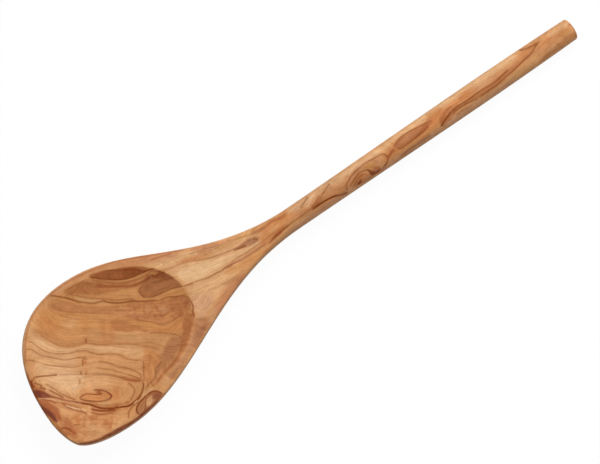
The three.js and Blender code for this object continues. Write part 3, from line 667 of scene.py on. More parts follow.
NECK_LINES = (
    Line("main line of the neck", 30.0, 0.55, 0.38, (
        (150, 297.8), (157, 295.3), (162, 293), (170, 289.3), (177, 287.2), (183, 286), (188, 284.6),
        (192, 283.2), (197, 281), (203, 279.5), (210, 277), (216, 273.3), (222, 270.5), (227, 267.3),
        (231, 264.8), (237, 262), (243, 259.5), (250, 255), (256, 251), (262, 246.8), (268, 243.5))),
    Line("dark place of the main line", 30.0, 0.75, 0.65, ((184, 285.8), (188, 284.6), (193, 283))),
    Line("thick place of the main line", 30.0, 1.0, 0.5, ((222, 270.5), (227, 267.3), (232, 264.4))),
    Line("upper side of the mauve band", 29.6, 0.45, 0.4, (
        (230, 263), (238.8, 257), (247.5, 252), (256, 245.8), (265, 239.5), (274, 232))),
    Line("pale streak of the neck", 29.3, 0.9, 0.25, (
        (236, 256), (246, 250), (254, 245), (261, 241)), Tone.CREAM),
    Line("upper line of the neck", 28.6, 0.6, 0.36, (
        (161, 272), (166, 269.7), (172, 267.5), (178, 265), (184, 262.7), (192, 261), (200, 260),
        (208, 258.5), (214, 256.7), (222, 254), (230, 250.8), (236, 248.6))),
    Line("soft line of the upper land", 28.1, 0.5, 0.15, (
        (150, 266.5), (162, 263), (175, 258.6), (187, 255))),
    Line("line of the upper land", 27.7, 0.7, 0.5, (
        (150, 260.3), (157, 257.8), (165, 255.4), (172, 253.5)), Tone.UMBER),
    Line("red in the orange band", 28.3, 0.6, 0.3, ((181, 262), (189, 259.6), (197, 257.6)), Tone.RUST),
    Line("edge line of the neck", 27.9, 0.5, 0.3, (
        (187.5, 255), (196, 252), (205, 251.4), (215, 248.9), (222.5, 244.5), (232.5, 240.8), (242.5, 237),
        (250, 234.5), (260, 229.5), (270, 224.5))),
    Line("outer edge line", 27.6, 0.45, 0.25, ((202.5, 249.5), (217.5, 245.8), (230, 240.8), (240, 235.8))),
    Line("foot of the plum spot", 28.9, 0.6, 0.65, (
        (234, 249.6), (238, 248.6), (242, 247.2), (246, 245.5))),
    Line("head of the plum spot", 29.0, 0.6, 0.65, ((253, 239), (256, 239.2), (258, 240))),
    Line("faint line of the neck", 30.8, 0.5, 0.14, (
        (192.5, 294.5), (202.5, 292), (210, 290), (220, 285.8), (230, 280.8), (235, 278))),
)

HANDLE_LINES = (
    Line("root line", 30.0, 0.55, 0.52, (
        (268, 244.5), (272, 240.5), (276, 236), (281, 231.5), (287, 226.5), (292, 222.5), (297, 219),
        (302, 215.5), (307, 211.5), (312, 209))),
    Line("dark root line", 30.0, 0.75, 0.85, (
        (311, 209.8), (315, 207.5), (320, 204), (325, 201), (330, 198.2), (335, 196), (340, 195),
        (345, 193.6), (348, 192.2))),
    Line("brown line of the root", 29.2, 0.8, 0.5, (
        (250, 235.5), (256, 232.5), (262, 229.5), (267, 225.5), (271, 222), (276, 219.5), (282, 217.3),
        (287, 214.6)), Tone.UMBER),
    Line("first arc", 29.4, 0.5, 0.5, ((300, 208), (303, 204), (306, 200), (308, 197))),
    Line("second arc", 29.5, 0.5, 0.45, ((311.5, 207.5), (315, 203), (318, 198), (319.5, 195))),
    Line("third arc", 29.6, 0.6, 0.38, (
        (320, 201.5), (321.5, 196.5), (323.5, 192.5), (326.5, 188), (330, 183.5))),
    Line("outer ring of the handle eye", 29.8, 0.55, 0.52, (
        (348.5, 191), (347, 189.5), (346.5, 187), (347, 183.5), (349, 180), (351, 176.5), (354, 172.5),
        (358, 169), (363, 165), (368, 161.5), (373, 159), (378, 156), (382, 154.2), (385, 154.6),
        (387, 157), (388, 160), (387, 162.5), (385, 165), (382, 168))),
    Line("second ring of the handle eye", 30.0, 0.45, 0.65, (
        (350, 187), (351.5, 184), (353.5, 180.5), (356, 177), (360, 172.5), (365, 170.3), (368, 170))),
    Line("third ring of the handle eye", 30.2, 0.45, 0.4, (
        (354, 186), (357, 180), (360, 176), (364, 173.2))),
    Line("rust streak", 29.6, 1.0, 0.8, ((387.5, 158), (391, 153), (394, 149)), Tone.UMBER),
    Line("top of the mauve lens", 29.3, 0.5, 0.55, (
        (393.8, 147.5), (396, 143), (400, 138), (405, 134), (410, 131), (415, 128.5), (420, 126),
        (427, 122.3), (432, 120.5))),
    Line("foot of the mauve lens", 29.35, 0.55, 0.5, (
        (397, 149.4), (402, 148), (406, 145), (410, 142), (415, 138), (420, 134), (425, 129.8),
        (429, 125.5))),
    Line("low line by the lens", 30.4, 0.7, 0.45, (
        (400, 157), (405, 153), (411, 148), (416, 145), (421, 141.5), (426, 138),
        (431, 134.5)), Tone.CHESTNUT),
    Line("dark streak", 30.0, 0.7, 0.6, (
        (441, 126.5), (443.5, 122), (446.5, 118), (448.8, 115), (451, 112))),
    Line("upper long streak", 29.7, 0.55, 0.6, (
        (451, 112), (456, 107.5), (462, 103.5), (468, 100), (474, 95.5), (480, 91), (486, 87.3), (492, 84),
        (498, 79.3), (503, 74.6), (509, 69))),
    Line("lower long streak", 30.0, 0.55, 0.56, (
        (478, 98), (484, 94), (490, 89.5), (495, 86.3), (500, 82.2), (505, 77.6), (510, 73.5), (515, 69),
        (519, 65), (523, 61), (528, 56.5), (532, 52), (534.5, 48), (537, 44), (540, 41))),
    Line("second line of the node", 30.1, 0.45, 0.55, (
        (452, 114), (458, 109), (464, 105), (470, 102), (478, 98))),
    Line("edge streak", 28.8, 0.6, 0.7, ((519, 50.6), (525, 49), (530, 47), (534, 45), (537, 43))),
    Line("short low streak", 30.4, 0.5, 0.35, (
        (456, 115.5), (462, 110.8), (468, 107.5), (473, 104.5)), Tone.CHESTNUT),
    # Painted shade: the rounded rim of the handle's end, which turns away from the light.
    Line("rim of the end", 30.6, 0.6, 0.5, (
        (567.5, 21), (571, 24.5), (574.3, 29.5), (576, 34), (576, 37)), Tone.UMBER),
)

CHECK_LINES = (
    Line("head of the drying check", 34.3, 0.5, 0.65, ((86, 338), (86, 343))),
    Line("middle of the drying check", 36.0, 0.5, 0.55, ((82.8, 359), (82.8, 362), (82.6, 366))),
    Line("first dot in the check", 37.4, 0.7, 0.9, ((80, 372.2), (81.4, 372.6))),
    Line("second dot in the check", 37.5, 0.7, 1.0, ((85.4, 373.6), (86.6, 374.2))),
    Line("foot of the drying check", 38.0, 0.5, 0.5, ((80, 379), (79.8, 384.5))),
    Line("red mark by the check", 36.2, 0.6, 0.5, ((85.4, 361), (85.8, 363.4)), Tone.RUST),
)

ALL_PATCHES = NECK_PATCHES + HANDLE_PATCHES + BOWL_PATCHES + TIP_PATCHES
ALL_LINES = BOWL_LINES + TIP_LINES + NECK_LINES + HANDLE_LINES + CHECK_LINES


def lerp(a: Array | float, b: Array | float, share: Array | float) -> Array:
    """Value between a and b at a share from 0 to 1."""
    return np.asarray(a + (np.asarray(b) - a) * share)


def smoothstep(x: Array, low: float, high: float) -> Array:
    """Smooth ramp from 0 at low to 1 at high."""
    t = np.clip((x - low) / (high - low), 0.0, 1.0)
    return t * t * (3.0 - 2.0 * t)


def bezier(start: Array, leave: Array, arrive: Array, end: Array) -> Array:
    """Points along a cubic Bezier curve.

    Args:
        start: Start point.
        leave: Pull with which the curve leaves it.
        arrive: Pull with which the curve arrives.
        end: End point.

    Returns:
        Points from the start to the end.
    """
    t = np.linspace(0.0, 1.0, CURVE_POINTS)[:, None]
    b, c = start + leave, end - arrive
    return start * (1 - t) ** 3 + 3 * b * t * (1 - t) ** 2 + 3 * c * t**2 * (1 - t) + end * t**3


class Rail:
    """An outline curve of the head, read by its share of length."""

    def __init__(self, *curves: Array) -> None:
        """Joins curves end to end.

        Args:
            curves: Points of each curve in turn.
        """
        self.points = np.concatenate([curves[0]] + [curve[1:] for curve in curves[1:]])
        steps = np.linalg.norm(np.diff(self.points, axis=0), axis=1)
        length = np.concatenate([[0.0], np.cumsum(steps)])
        self.shares = length / length[-1]

    def at(self, shares: Array) -> Array:
        """Points at shares of the length, one row each."""
        return np.stack([np.interp(shares, self.shares, self.points[:, k]) for k in (0, 1)], axis=1)


@dataclass
class Sections:
    """Lines across the spoon in plan, one for each ring of the mesh, in millimetres.

    Attributes:
        port: Ends on the port side.
        starboard: Ends on the starboard side.
        radius: Radius that the round neck or handle has there.
        from_corner: Distance of the line's middle from the corner.
    """

    port: Array
    starboard: Array
    radius: Array
    from_corner: Array


@dataclass(frozen=True)
class OutlinePulls:
    """Pulls of the outline's curves, as shares of their runs. A higher one holds its direction longer."""

    front_to_corner: float = 0.37
    front_to_port: float = 0.66
    port_to_front: float = 0.64
    port_to_neck: float = 0.34
    neck_to_port: float = 0.49
    starboard_to_corner: float = 0.55
    starboard_to_neck: float = 0.32
    neck_to_starboard: float = 0.43


@dataclass(frozen=True)
class SpoonShape:
    """The carved form in millimetres, from the same sizes as the CAD part. X = 0 is the middle of the bowl.

    The hollow's edge is crisp towards crisp_side and turns from worn to crisp between the cosines of
    crisp_turn. A patch of the hollow ends between the heights of edge_band, measured from the rim. The
    sections crowd towards the corner by the power corner_crowding.
    """

    front_reach: float = 43.0
    neck_reach: float = 99.0
    handle_length: float = 158.0
    swell_from_end: float = 52.0
    neck_width: float = 10.8
    swell_width: float = 11.7
    handle_end_width: float = 10.6
    port_half_width: float = 35.2
    port_widest_ahead: float = 3.0
    starboard_half_width: float = 36.0
    starboard_widest_ahead: float = 14.0
    front_edge_offset: float = 13.0
    corner_behind_front: float = 3.5
    corner_offset: float = 28.8
    corner_slant: float = math.radians(120.5)
    corner_pull: float = 4.6
    rim_edge_height: float = 11.0
    rim_wall: float = 4.0
    rim_slope: float = 0.03
    neck_axis_height: float = 9.8
    rest_flat_depth: float = 0.4
    round_power: float = 2.0
    rim_power: float = 6.0
    starboard_rim_power: float = 14.0
    hull_fullness: float = 0.9
    top_fade_to: float = 35.0
    keel_fade_to: float = 0.0
    corner_top_round: float = 5.0
    corner_hull_round: float = 34.0
    handle_end_round: float = 0.9
    hollow_neck_radius: float = 45.2
    hollow_front_radius: float = 35.0
    hollow_side_radius: float = 30.2
    hollow_depth: float = 10.0
    hollow_ahead: float = 5.3
    hollow_offset: float = 1.5
    hollow_lean: float = 11.0
    cutter_height: float = 24.0
    crisp_edge: float = 0.2
    worn_edge: float = 6.0
    crisp_side: tuple[float, float] = (0.96, 0.28)
    crisp_turn: tuple[float, float] = (-0.25, 0.45)
    edge_band: tuple[float, float] = (-0.3, -0.05)
    corner_crowding: float = 1.25
    pulls: OutlinePulls = OutlinePulls()

    @property
    def handle_end(self) -> float:
        """X of the handle's end."""
        return self.neck_reach + self.handle_length

    @property
    def rim_height(self) -> float:
        """Height of the rim above the table."""
        return self.rim_edge_height + self.rim_wall

    @property
    def corner(self) -> Array:
        """Middle of the rounded corner in plan."""
        return np.array([self.corner_behind_front - self.front_reach, -self.corner_offset])

    def rails(self) -> tuple[Rail, Rail]:
        """Outline of the head.

        Returns:
            The port rail and the starboard rail, both from the corner to the neck.
        """
        corner = self.corner
        along = self.corner_pull * np.array([math.cos(self.corner_slant), math.sin(self.corner_slant)])
        front = np.array([-self.front_reach, -self.front_edge_offset])
        port = np.array([-self.port_widest_ahead, self.port_half_width])
        starboard = np.array([-self.starboard_widest_ahead, -self.starboard_half_width])
        port_neck = np.array([self.neck_reach, self.neck_width / 2])
        starboard_neck = port_neck * (1, -1)
        ahead, aside = np.array([1.0, 0.0]), np.array([0.0, 1.0])
        front_run = aside * (self.corner_offset - self.front_edge_offset)
        front_turn, port_turn = aside * (port - front)[1], ahead * (port - front)[0]
        starboard_turn = ahead * (starboard[0] - corner[0])
        port_flare = ahead * (self.neck_reach - port[0])
        starboard_flare = ahead * (self.neck_reach - starboard[0])
        pulls = self.pulls
        port_rail = Rail(
            bezier(corner, along, front_run * pulls.front_to_corner, front),
            bezier(front, front_turn * pulls.front_to_port, port_turn * pulls.port_to_front, port),
            bezier(port, port_flare * pulls.port_to_neck, port_flare * pulls.neck_to_port, port_neck),
        )
        to_neck, from_neck = pulls.starboard_to_neck, pulls.neck_to_starboard
        starboard_rail = Rail(
            bezier(corner, -along, starboard_turn * pulls.starboard_to_corner, starboard),
            bezier(starboard, starboard_flare * to_neck, starboard_flare * from_neck, starboard_neck),
        )
        return port_rail, starboard_rail

    def handle_half_width(self, x: Array) -> Array:
        """Half the width of the handle.

        Args:
            x: Places along the handle.

        Returns:
            Half the width at each place.
        """
        swell_x = self.handle_end - self.swell_from_end
        rising = lerp(self.neck_width, self.swell_width, smoothstep(x, self.neck_reach, swell_x))
        falling = lerp(self.swell_width, self.handle_end_width, ((x - swell_x) / self.swell_from_end) ** 2)
        return np.where(x < swell_x, rising, falling) / 2

    def sections(self, head: int, handle: int, end: int) -> Sections:
        """All sections from the corner to the handle's end.

        Args:
            head: Number of sections of the head and neck.
            handle: Number of sections of the handle.
            end: Number of sections of the handle's softened end.

        Returns:
            The sections in order.
        """
        port_rail, starboard_rail = self.rails()
        shares = (np.arange(1, head + 1) / head) ** self.corner_crowding
        port = port_rail.at(shares)
        starboard = starboard_rail.at(shares)
        from_corner = np.linalg.norm((port + starboard) / 2 - self.corner, axis=1)
        straight = self.handle_length - self.handle_end_round
        x = self.neck_reach + straight * np.arange(1, handle + 1) / handle
        turn = np.arange(1, end + 1) / end * math.pi / 2
        x_end = self.handle_end - self.handle_end_round * (1 - np.sin(turn))
        half = np.concatenate([
            self.handle_half_width(x),
            self.handle_half_width(x_end) - self.handle_end_round * (1 - np.cos(turn)),
        ])
        x = np.concatenate([x, x_end])
        return Sections(
            port=np.concatenate([port, np.stack([x, half], axis=1)]),
            starboard=np.concatenate([starboard, np.stack([x, -half], axis=1)]),
            radius=np.concatenate([np.full(head, self.neck_width / 2), half]),
            from_corner=np.concatenate([from_corner, np.full(len(x), np.inf)]),
        )

    @staticmethod
    def nose(share: Array, power: float, root: float) -> Array:
        """A rounded nose from 0 at its tip to 1 where it is full."""
        return (1 - (1 - np.minimum(1.0, share)) ** power) ** root

    def hollow_floor(self, plan: Array) -> Array:
        """Height of the hollow's surface.

        Args:
            plan: Points in plan.

        Returns:
            The cutter's underside over each point, infinitely high outside the cutter.
        """
        above_rim = self.cutter_height - self.hollow_depth
        at_rim = math.sqrt(1 - (above_rim / self.cutter_height) ** 2)
        along, across = plan[..., 0] + self.hollow_ahead, plan[..., 1] - self.hollow_offset
        along = along / np.where(along > 0, self.hollow_neck_radius, self.hollow_front_radius)
        across = (across + self.hollow_lean * np.minimum(0.0, along) ** 2) / self.hollow_side_radius
        out = (along**2 + across**2) * at_rim**2
        depth = self.cutter_height * np.sqrt(np.clip(1 - out, 0.0, 1.0))
        return np.where(out < 1, self.rim_height + above_rim - depth, np.inf)

    def land_share(self, plan: Array) -> Array:
        """How far points in plan lie outside the crisp edge of the hollow, 0 to 1."""
        above_rim = self.hollow_floor(plan) - self.rim_height
        return smoothstep(above_rim, *self.edge_band) * self.crispness(plan)

    def crispness(self, plan: Array) -> Array:
        """How crisp the hollow's edge is.

        Args:
            plan: Points in plan.

        Returns:
            1 where the edge in the direction of a point is crisp, 0 where it is worn.
        """
        out = plan + (self.hollow_ahead, -self.hollow_offset)
        facing = out @ np.array(self.crisp_side) / np.maximum(np.linalg.norm(out, axis=-1), TINY)
        return smoothstep(facing, *self.crisp_turn)

    def surface(self, sections: Sections, across: Array, top: bool) -> Array:
        """Points of the skin.

        Args:
            sections: Lines across the spoon.
            across: For each line, places along it from 1 at port to -1 at starboard.
            top: Whether the points are on the top or on the back.

        Returns:
            X, Y and Z of each point.
        """
        share = ((1 + across) / 2)[..., None]
        plan = lerp(sections.starboard[:, None], sections.port[:, None], share)
        x = plan[..., 0]
        flat = 1 - smoothstep(x, self.top_fade_to, self.neck_reach)
        keel = 1 - smoothstep(x, self.keel_fade_to, self.neck_reach)
        rim_edge = self.rim_edge_height - self.rim_slope * np.minimum(0.0, x)
        along = (x - self.neck_reach) / self.handle_length
        axis = lerp(self.neck_axis_height, self.handle_end_width / 2, along)
        edge = lerp(axis, rim_edge, flat)
        radius = sections.radius[:, None]
        if top:
            far = sections.from_corner / self.corner_top_round
            full = self.nose(far, self.rim_power, 1 / self.rim_power)
            rim_power = np.where(across < 0, self.starboard_rim_power, self.rim_power)
            power = lerp(self.round_power, rim_power, flat)
            rise = lerp(radius, self.rim_wall, flat) * full[:, None]
            height = edge + rise * np.clip(1 - np.abs(across) ** power, 0, 1) ** (1 / power)
            height = self.cut_hollow(plan, height)
        else:
            far = sections.from_corner / self.corner_hull_round
            full = self.nose(far, self.round_power, self.hull_fullness)
            drop = lerp(radius, rim_edge + self.rest_flat_depth, keel) * full[:, None]
            root = lerp(1 / self.round_power, self.hull_fullness, keel)
            height = edge - drop * np.clip(1 - across**2, 0, 1) ** root
            height = np.maximum(height, 0.0)
        return np.concatenate([plan, height[..., None]], axis=-1)

    def cut_hollow(self, plan: Array, height: Array) -> Array:
        """Cuts the hollow into the top. Its edge is crisp towards the neck and worn towards the corner.

        Args:
            plan: Points in plan.
            height: Heights of the uncut top.

        Returns:
            Heights of the cut top.
        """
        floor = self.hollow_floor(plan)
        edge = lerp(self.worn_edge, self.crisp_edge, self.crispness(plan))
        near = np.clip(1 - np.abs(height - floor) / edge, 0.0, 1.0)
        return np.minimum(height, floor) - near**2 * edge / 4


@dataclass
class PhotoCamera:
    """The camera of the photograph, for a picture of 600 by 464 pixels. Lengths in millimetres."""

    target: Vector = field(default_factory=lambda: Vector((-8.94, -6.18, 8.0)))
    azimuth: float = math.radians(-35.8)
    elevation: float = math.radians(74.0)
    distance: float = 1300.0
    pixels_wide: int = 600
    pixels_high: int = 464
    focal_pixels: float = 2882.0
    sensor_width: float = 36.0
    clip_end: float = 10000.0

    @property
    def back(self) -> Vector:
        """Direction from the target to the camera.

        Returns:
            A unit vector.
        """
        flat = math.cos(self.elevation)
        across, ahead = math.sin(self.azimuth) * flat, -math.cos(self.azimuth) * flat
        return Vector((across, ahead, math.sin(self.elevation)))

    @property
    def place(self) -> Vector:
        """The camera's place."""
        return self.target + self.back * self.distance

    def ray(self, pixel: tuple[float, float]) -> Vector:
        """Direction from the camera through a pixel of the photograph.

        Args:
            pixel: X from the left and Y from the top.

        Returns:
            A unit vector.
        """
        turn = (-self.back).to_track_quat("-Z", "Y")
        right, up = turn @ Vector((1, 0, 0)), turn @ Vector((0, 1, 0))
        x = (pixel[0] - self.pixels_wide / 2) / self.focal_pixels
        y = (pixel[1] - self.pixels_high / 2) / self.focal_pixels
        return (right * x - up * y - self.back).normalized()

    def build(self) -> bpy.types.Object:
        """Makes the scene's camera.

        Returns:
            The camera object.
        """
        data = bpy.data.cameras.new("photo_camera")
        data.sensor_fit = "HORIZONTAL"
        data.sensor_width = self.sensor_width
        data.lens = self.focal_pixels * self.sensor_width / self.pixels_wide
        data.clip_end = self.clip_end * MM
        camera = bpy.data.objects.new("photo_camera", data)
        camera.location = self.place * MM
        camera.rotation_mode = "QUATERNION"
        camera.rotation_quaternion = (-self.back).to_track_quat("-Z", "Y")
        bpy.context.collection.objects.link(camera)
        bpy.context.scene.camera = camera
        return camera


def smooth_curve(points: Array, steps: int, closed: bool) -> Array:
    """A smooth curve through points.

    Args:
        points: Points in order.
        steps: Number of steps between two points.
        closed: Whether the curve returns to its start.

    Returns:
        Points along the curve.
    """
    if closed:
        padded = np.concatenate([points[-1:], points, points[:2]])
    else:
        padded = np.concatenate([2 * points[:1] - points[1:2], points, 2 * points[-1:] - points[-2:-1]])
    t = np.linspace(0.0, 1.0, steps, endpoint=False)[:, None]
    curve = []
    for a, b, c, d in zip(padded, padded[1:], padded[2:], padded[3:]):
        curve.append(b + 0.5 * t * (c - a + t * (2 * a - 5 * b + 4 * c - d + t * (3 * (b - c) + d - a))))
    if not closed:
        curve.append(points[-1:])
    return np.concatenate(curve)


def measure_from_line(points: Array, line: Array) -> tuple[Array, Array, Array]:
    """Where points lie beside a line.

    Args:
        points: Points in plan.
        line: Points of the line.

    Returns:
        Distance of each point, share of the line's length at its nearest place, and 1 on the line's left or
        -1 on its right.
    """
    best = np.full(len(points), np.inf)
    share = np.zeros(len(points))
    side = np.ones(len(points))
    lengths = np.linalg.norm(np.diff(line, axis=0), axis=1)
    starts = np.concatenate([[0.0], np.cumsum(lengths)])
    for k, (a, b) in enumerate(zip(line, line[1:])):
        run = b - a
        off = points - a
        t = np.clip(off @ run / max(float(run @ run), TINY), 0.0, 1.0)
        away = off - t[:, None] * run
        distance = np.einsum("ij,ij->i", away, away)
        closer = distance < best
        best = np.where(closer, distance, best)
        share = np.where(closer, starts[k] + t * lengths[k], share)
        side = np.where(closer, np.sign(run[0] * off[:, 1] - run[1] * off[:, 0]), side)
    return np.sqrt(best), share / starts[-1], side


def inside_outline(points: Array, outline: Array) -> Array:
    """Whether each point lies inside a closed outline.

    Args:
        points: Points in plan.
        outline: Corners of the outline.

    Returns:
        True for each point inside.
    """
    inside = np.zeros(len(points), bool)
    for a, b in zip(outline, np.roll(outline, -1, axis=0)):
        spans = (a[1] > points[:, 1]) != (b[1] > points[:, 1])
        rise = b[1] - a[1] or TINY
        crossing = a[0] + (points[:, 1] - a[1]) * (b[0] - a[0]) / rise
        inside ^= spans & (points[:, 0] < crossing)
    return inside


@dataclass(frozen=True)
class Ripple:
    """Smooth random unevenness of the wood.

    Attributes:
        across: Ripples for each unit of the first coordinate.
        along: Ripples for each unit of the second coordinate.
        seed: Seed of the random values.
    """

    across: float
    along: float
    seed: int

    def at(self, first: Array, second: Array) -> Array:
        """Smooth values over a lattice of random ones.

        Args:
            first: First coordinate of each point.
            second: Second coordinate of each point.

        Returns:
            A value from 0 to 1 for each point.
        """
        first, second = first * self.across, second * self.along
        table = np.random.default_rng(self.seed).random((LATTICE, LATTICE))
        i, j = np.floor(first).astype(int), np.floor(second).astype(int)
        u, v = smoothstep(first - i, 0.0, 1.0), smoothstep(second - j, 0.0, 1.0)
        next_i, next_j = (i + 1) % LATTICE, (j + 1) % LATTICE
        i, j = i % LATTICE, j % LATTICE
        here = lerp(table[i, j], table[next_i, j], u)
        there = lerp(table[i, next_j], table[next_i, next_j], u)
        return lerp(here, there, v)


def add_node(
    tree: Tree, kind: str, inputs: dict[str | int, SocketValue], **settings: str
) -> bpy.types.Node:
    """Adds a shader node.

    Args:
        tree: Tree that gets the node.
        kind: Blender's name for this kind of node.
        inputs: A value, or an output of another node, for each input.
        settings: The node's own settings.

    Returns:
        The node.
    """
    node = tree.nodes.new(kind)
    for name, setting in settings.items():
        setattr(node, name, setting)
    for name, value in inputs.items():
        if isinstance(value, Socket):
            tree.links.new(value, node.inputs[name])
        else:
            node.inputs[name].default_value = value
    return node


def display_to_linear(colour: Array) -> Array:
    """Scene-linear values of display colours from 0 to 1."""
    return np.where(colour <= 0.04045, colour / 12.92, ((colour + 0.055) / 1.055) ** 2.4)


@dataclass(frozen=True)
class OliveFigure:
    """The figure of the wood: growth lines and patches, carried through the blank on slanting rings.

    Attributes:
        lean: How far the rings lean in X and Y for each millimetre of height.
        level: Height at which the figure is drawn, in millimetres.
        ground: Tone of the plain wood.
        patch_steps: Steps of a patch's outline between two of its points.
        fringe: Ripples of a patch's edge, over the years and along X.
        fringe_width: Least width of that fringe in millimetres.
        streaks: Streaks in the patches, over the years and along X.
        streak_share: How far a streak weakens a patch, 0 to 1.
        clouds: Clouds in the patches, along X and Y.
        cloud_share: How far a cloud weakens a patch, 0 to 1.
        spot_fineness: Fine spots of a mottled patch for each coarse one.
        spot_fine_share: Share of the fine spots.
        spot_range: Values at which a spot begins and is full.
        spot_seed_step: Step from the seed of the coarse spots to that of the fine ones.
        soft_reach: Widths over which a soft edge or a halo is followed.
        line_steps: Steps of a growth line between two of its points.
        line_wear: Ripples of a line's depth, along it and from year to year.
        wear_range: Least and largest factor of that wear.
        line_thinnest: Width that stands for all wood without a line, in millimetres.
        line_slack: Share of a line by which its fade reaches past its ends.
        line_taper: Share of a line over which its ends fade.
        line_hold: Distance from a line up to which the skin knows its full depth, in millimetres.
        line_reach: Distance at which the skin no longer knows the line, in millimetres.
        halo_depth: How far the wood beside a line takes its tone, 0 to 1.
        halo_width: Width of that halo in widths of the line.
        shade_depth: How far the wood takes a line's tone on its shaded side, 0 to 1.
        shade_reach: How far that shade reaches, in millimetres.
        year_smoothing: How freely the growth years pass the lines. At 0 they keep to every point.
    """

    lean: tuple[float, float] = (0.15, 0.4)
    level: float = 15.0
    ground: Tone = Tone.GROUND
    patch_steps: int = 4
    fringe: Ripple = Ripple(6.0, 0.1, 11)
    fringe_width: float = 0.7
    streaks: Ripple = Ripple(5.0, 0.07, 12)
    streak_share: float = 0.25
    clouds: Ripple = Ripple(0.7, 0.7, 14)
    cloud_share: float = 0.2
    spot_fineness: float = 2.3
    spot_fine_share: float = 0.4
    spot_range: tuple[float, float] = (0.42, 0.62)
    spot_seed_step: int = 40
    soft_reach: float = 3.0
    line_steps: int = 5
    line_wear: Ripple = Ripple(0.25, 1.0, 13)
    wear_range: tuple[float, float] = (0.75, 1.25)
    line_thinnest: float = 0.2
    line_slack: float = 0.01
    line_taper: float = 0.05
    line_hold: float = 0.8
    line_reach: float = 1.4
    halo_depth: float = 0.14
    halo_width: float = 2.2
    shade_depth: float = 0.22
    shade_reach: float = 3.0
    year_smoothing: float = 40.0

    def flatten(self, points: Array) -> Array:
        """Brings points of the wood to the drawing level along the rings.

        Args:
            points: X, Y and Z in millimetres.

        Returns:
            X and Y on the drawing level.
        """
        rise = points[:, 2:] - self.level
        return points[:, :2] + rise * np.array(self.lean)

    def project(self, pixels: Pixels, camera: PhotoCamera, skin: BVHTree) -> Array:
        """Drawing-level points of pixels of the photograph.

        Args:
            pixels: Pixels on the spoon.
            camera: The photograph's camera.
            skin: The spoon's skin in millimetres.

        Returns:
            X and Y on the drawing level, one row each.
        """
        hits = []
        for pixel in pixels:
            ray = camera.ray(pixel)
            hit = skin.ray_cast(camera.place, ray)[0]
            if hit is None:
                along = (self.level - camera.place.z) / ray.z
                hit = skin.find_nearest(camera.place + ray * along)[0]
            hits.append(tuple(hit))
        return self.flatten(np.array(hits))

    def paint(
        self, points: Array, years: Array, land: Array, camera: PhotoCamera, skin: BVHTree
    ) -> Array:
        """Colour of the wood between its growth lines; some patches and lines paint shade and light.

        Args:
            points: X, Y and Z in millimetres.
            years: Growth year of each point.
            land: How far each point lies outside the hollow's crisp edge, 0 to 1.
            camera: The photograph's camera.
            skin: The spoon's skin in millimetres.

        Returns:
            Display colours from 0 to 1, one row each.
        """
        level = self.flatten(points)
        colour = np.tile(self.ground.display, (len(points), 1))
        fringe = self.fringe.at(years, points[:, 0]) - 0.5
        uneven = 1 - self.streak_share * self.streaks.at(years, points[:, 0])
        uneven *= 1 - self.cloud_share * self.clouds.at(points[:, 0], points[:, 1])
        for patch in ALL_PATCHES:
            outline = smooth_curve(self.project(patch.pixels, camera, skin), self.patch_steps, closed=True)
            near = self.near(level, outline, self.soft_reach * patch.feather)
            distance, _, _ = measure_from_line(level[near], np.concatenate([outline, outline[:1]]))
            signed = np.where(inside_outline(level[near], outline), distance, -distance)
            signed += max(self.fringe_width, patch.feather) * fringe[near]
            amount = patch.depth * uneven[near] * smoothstep(signed, -patch.feather, patch.feather)
            if patch.in_hollow:
                amount *= 1 - land[near]
            if patch.mottle:
                amount *= self.spots(points[near], patch.mottle, len(patch.name))
            colour[near] = lerp(colour[near], patch.tone.display, amount[:, None])
        for line in ALL_LINES:
            path = self.path(line, camera, skin)
            width = self.halo_width * line.width
            near = self.near(level, path, self.soft_reach * (self.shade_reach if line.shaded else width))
            distance, share, side = measure_from_line(level[near], path)
            amount = self.halo_depth * line.depth * np.exp(-((distance / width) ** 2))
            if line.shaded:
                tail = self.shade_depth * np.exp(-distance / self.shade_reach)
                amount = np.maximum(amount, np.where(side > 0, tail, 0.0))
            amount *= self.ends(share)
            colour[near] = lerp(colour[near], line.tone.display, amount[:, None])
        return colour

    def spots(self, points: Array, size: float, seed: int) -> Array:
        """Spots of a mottled patch.

        Args:
            points: X, Y and Z in millimetres.
            size: Size of the spots in millimetres.
            seed: Which spots.

        Returns:
            1 in a spot and 0 between the spots.
        """
        x, y = points[:, 0] / size, points[:, 1] / size
        coarse = Ripple(1.0, 1.0, seed).at(x, y)
        fine = Ripple(self.spot_fineness, self.spot_fineness, seed + self.spot_seed_step).at(x, y)
        return smoothstep(lerp(coarse, fine, self.spot_fine_share), *self.spot_range)

    def path(self, line: Line, camera: PhotoCamera, skin: BVHTree) -> Array:
        """Points along a growth line on the drawing level."""
        return smooth_curve(self.project(line.pixels, camera, skin), self.line_steps, closed=False)

    def ends(self, share: Array) -> Array:
        """Fade of a line towards its ends, from the share of its length."""
        slack, taper = self.line_slack, self.line_taper
        return np.minimum(smoothstep(share, -slack, taper), smoothstep(1 + slack - share, 0.0, taper))

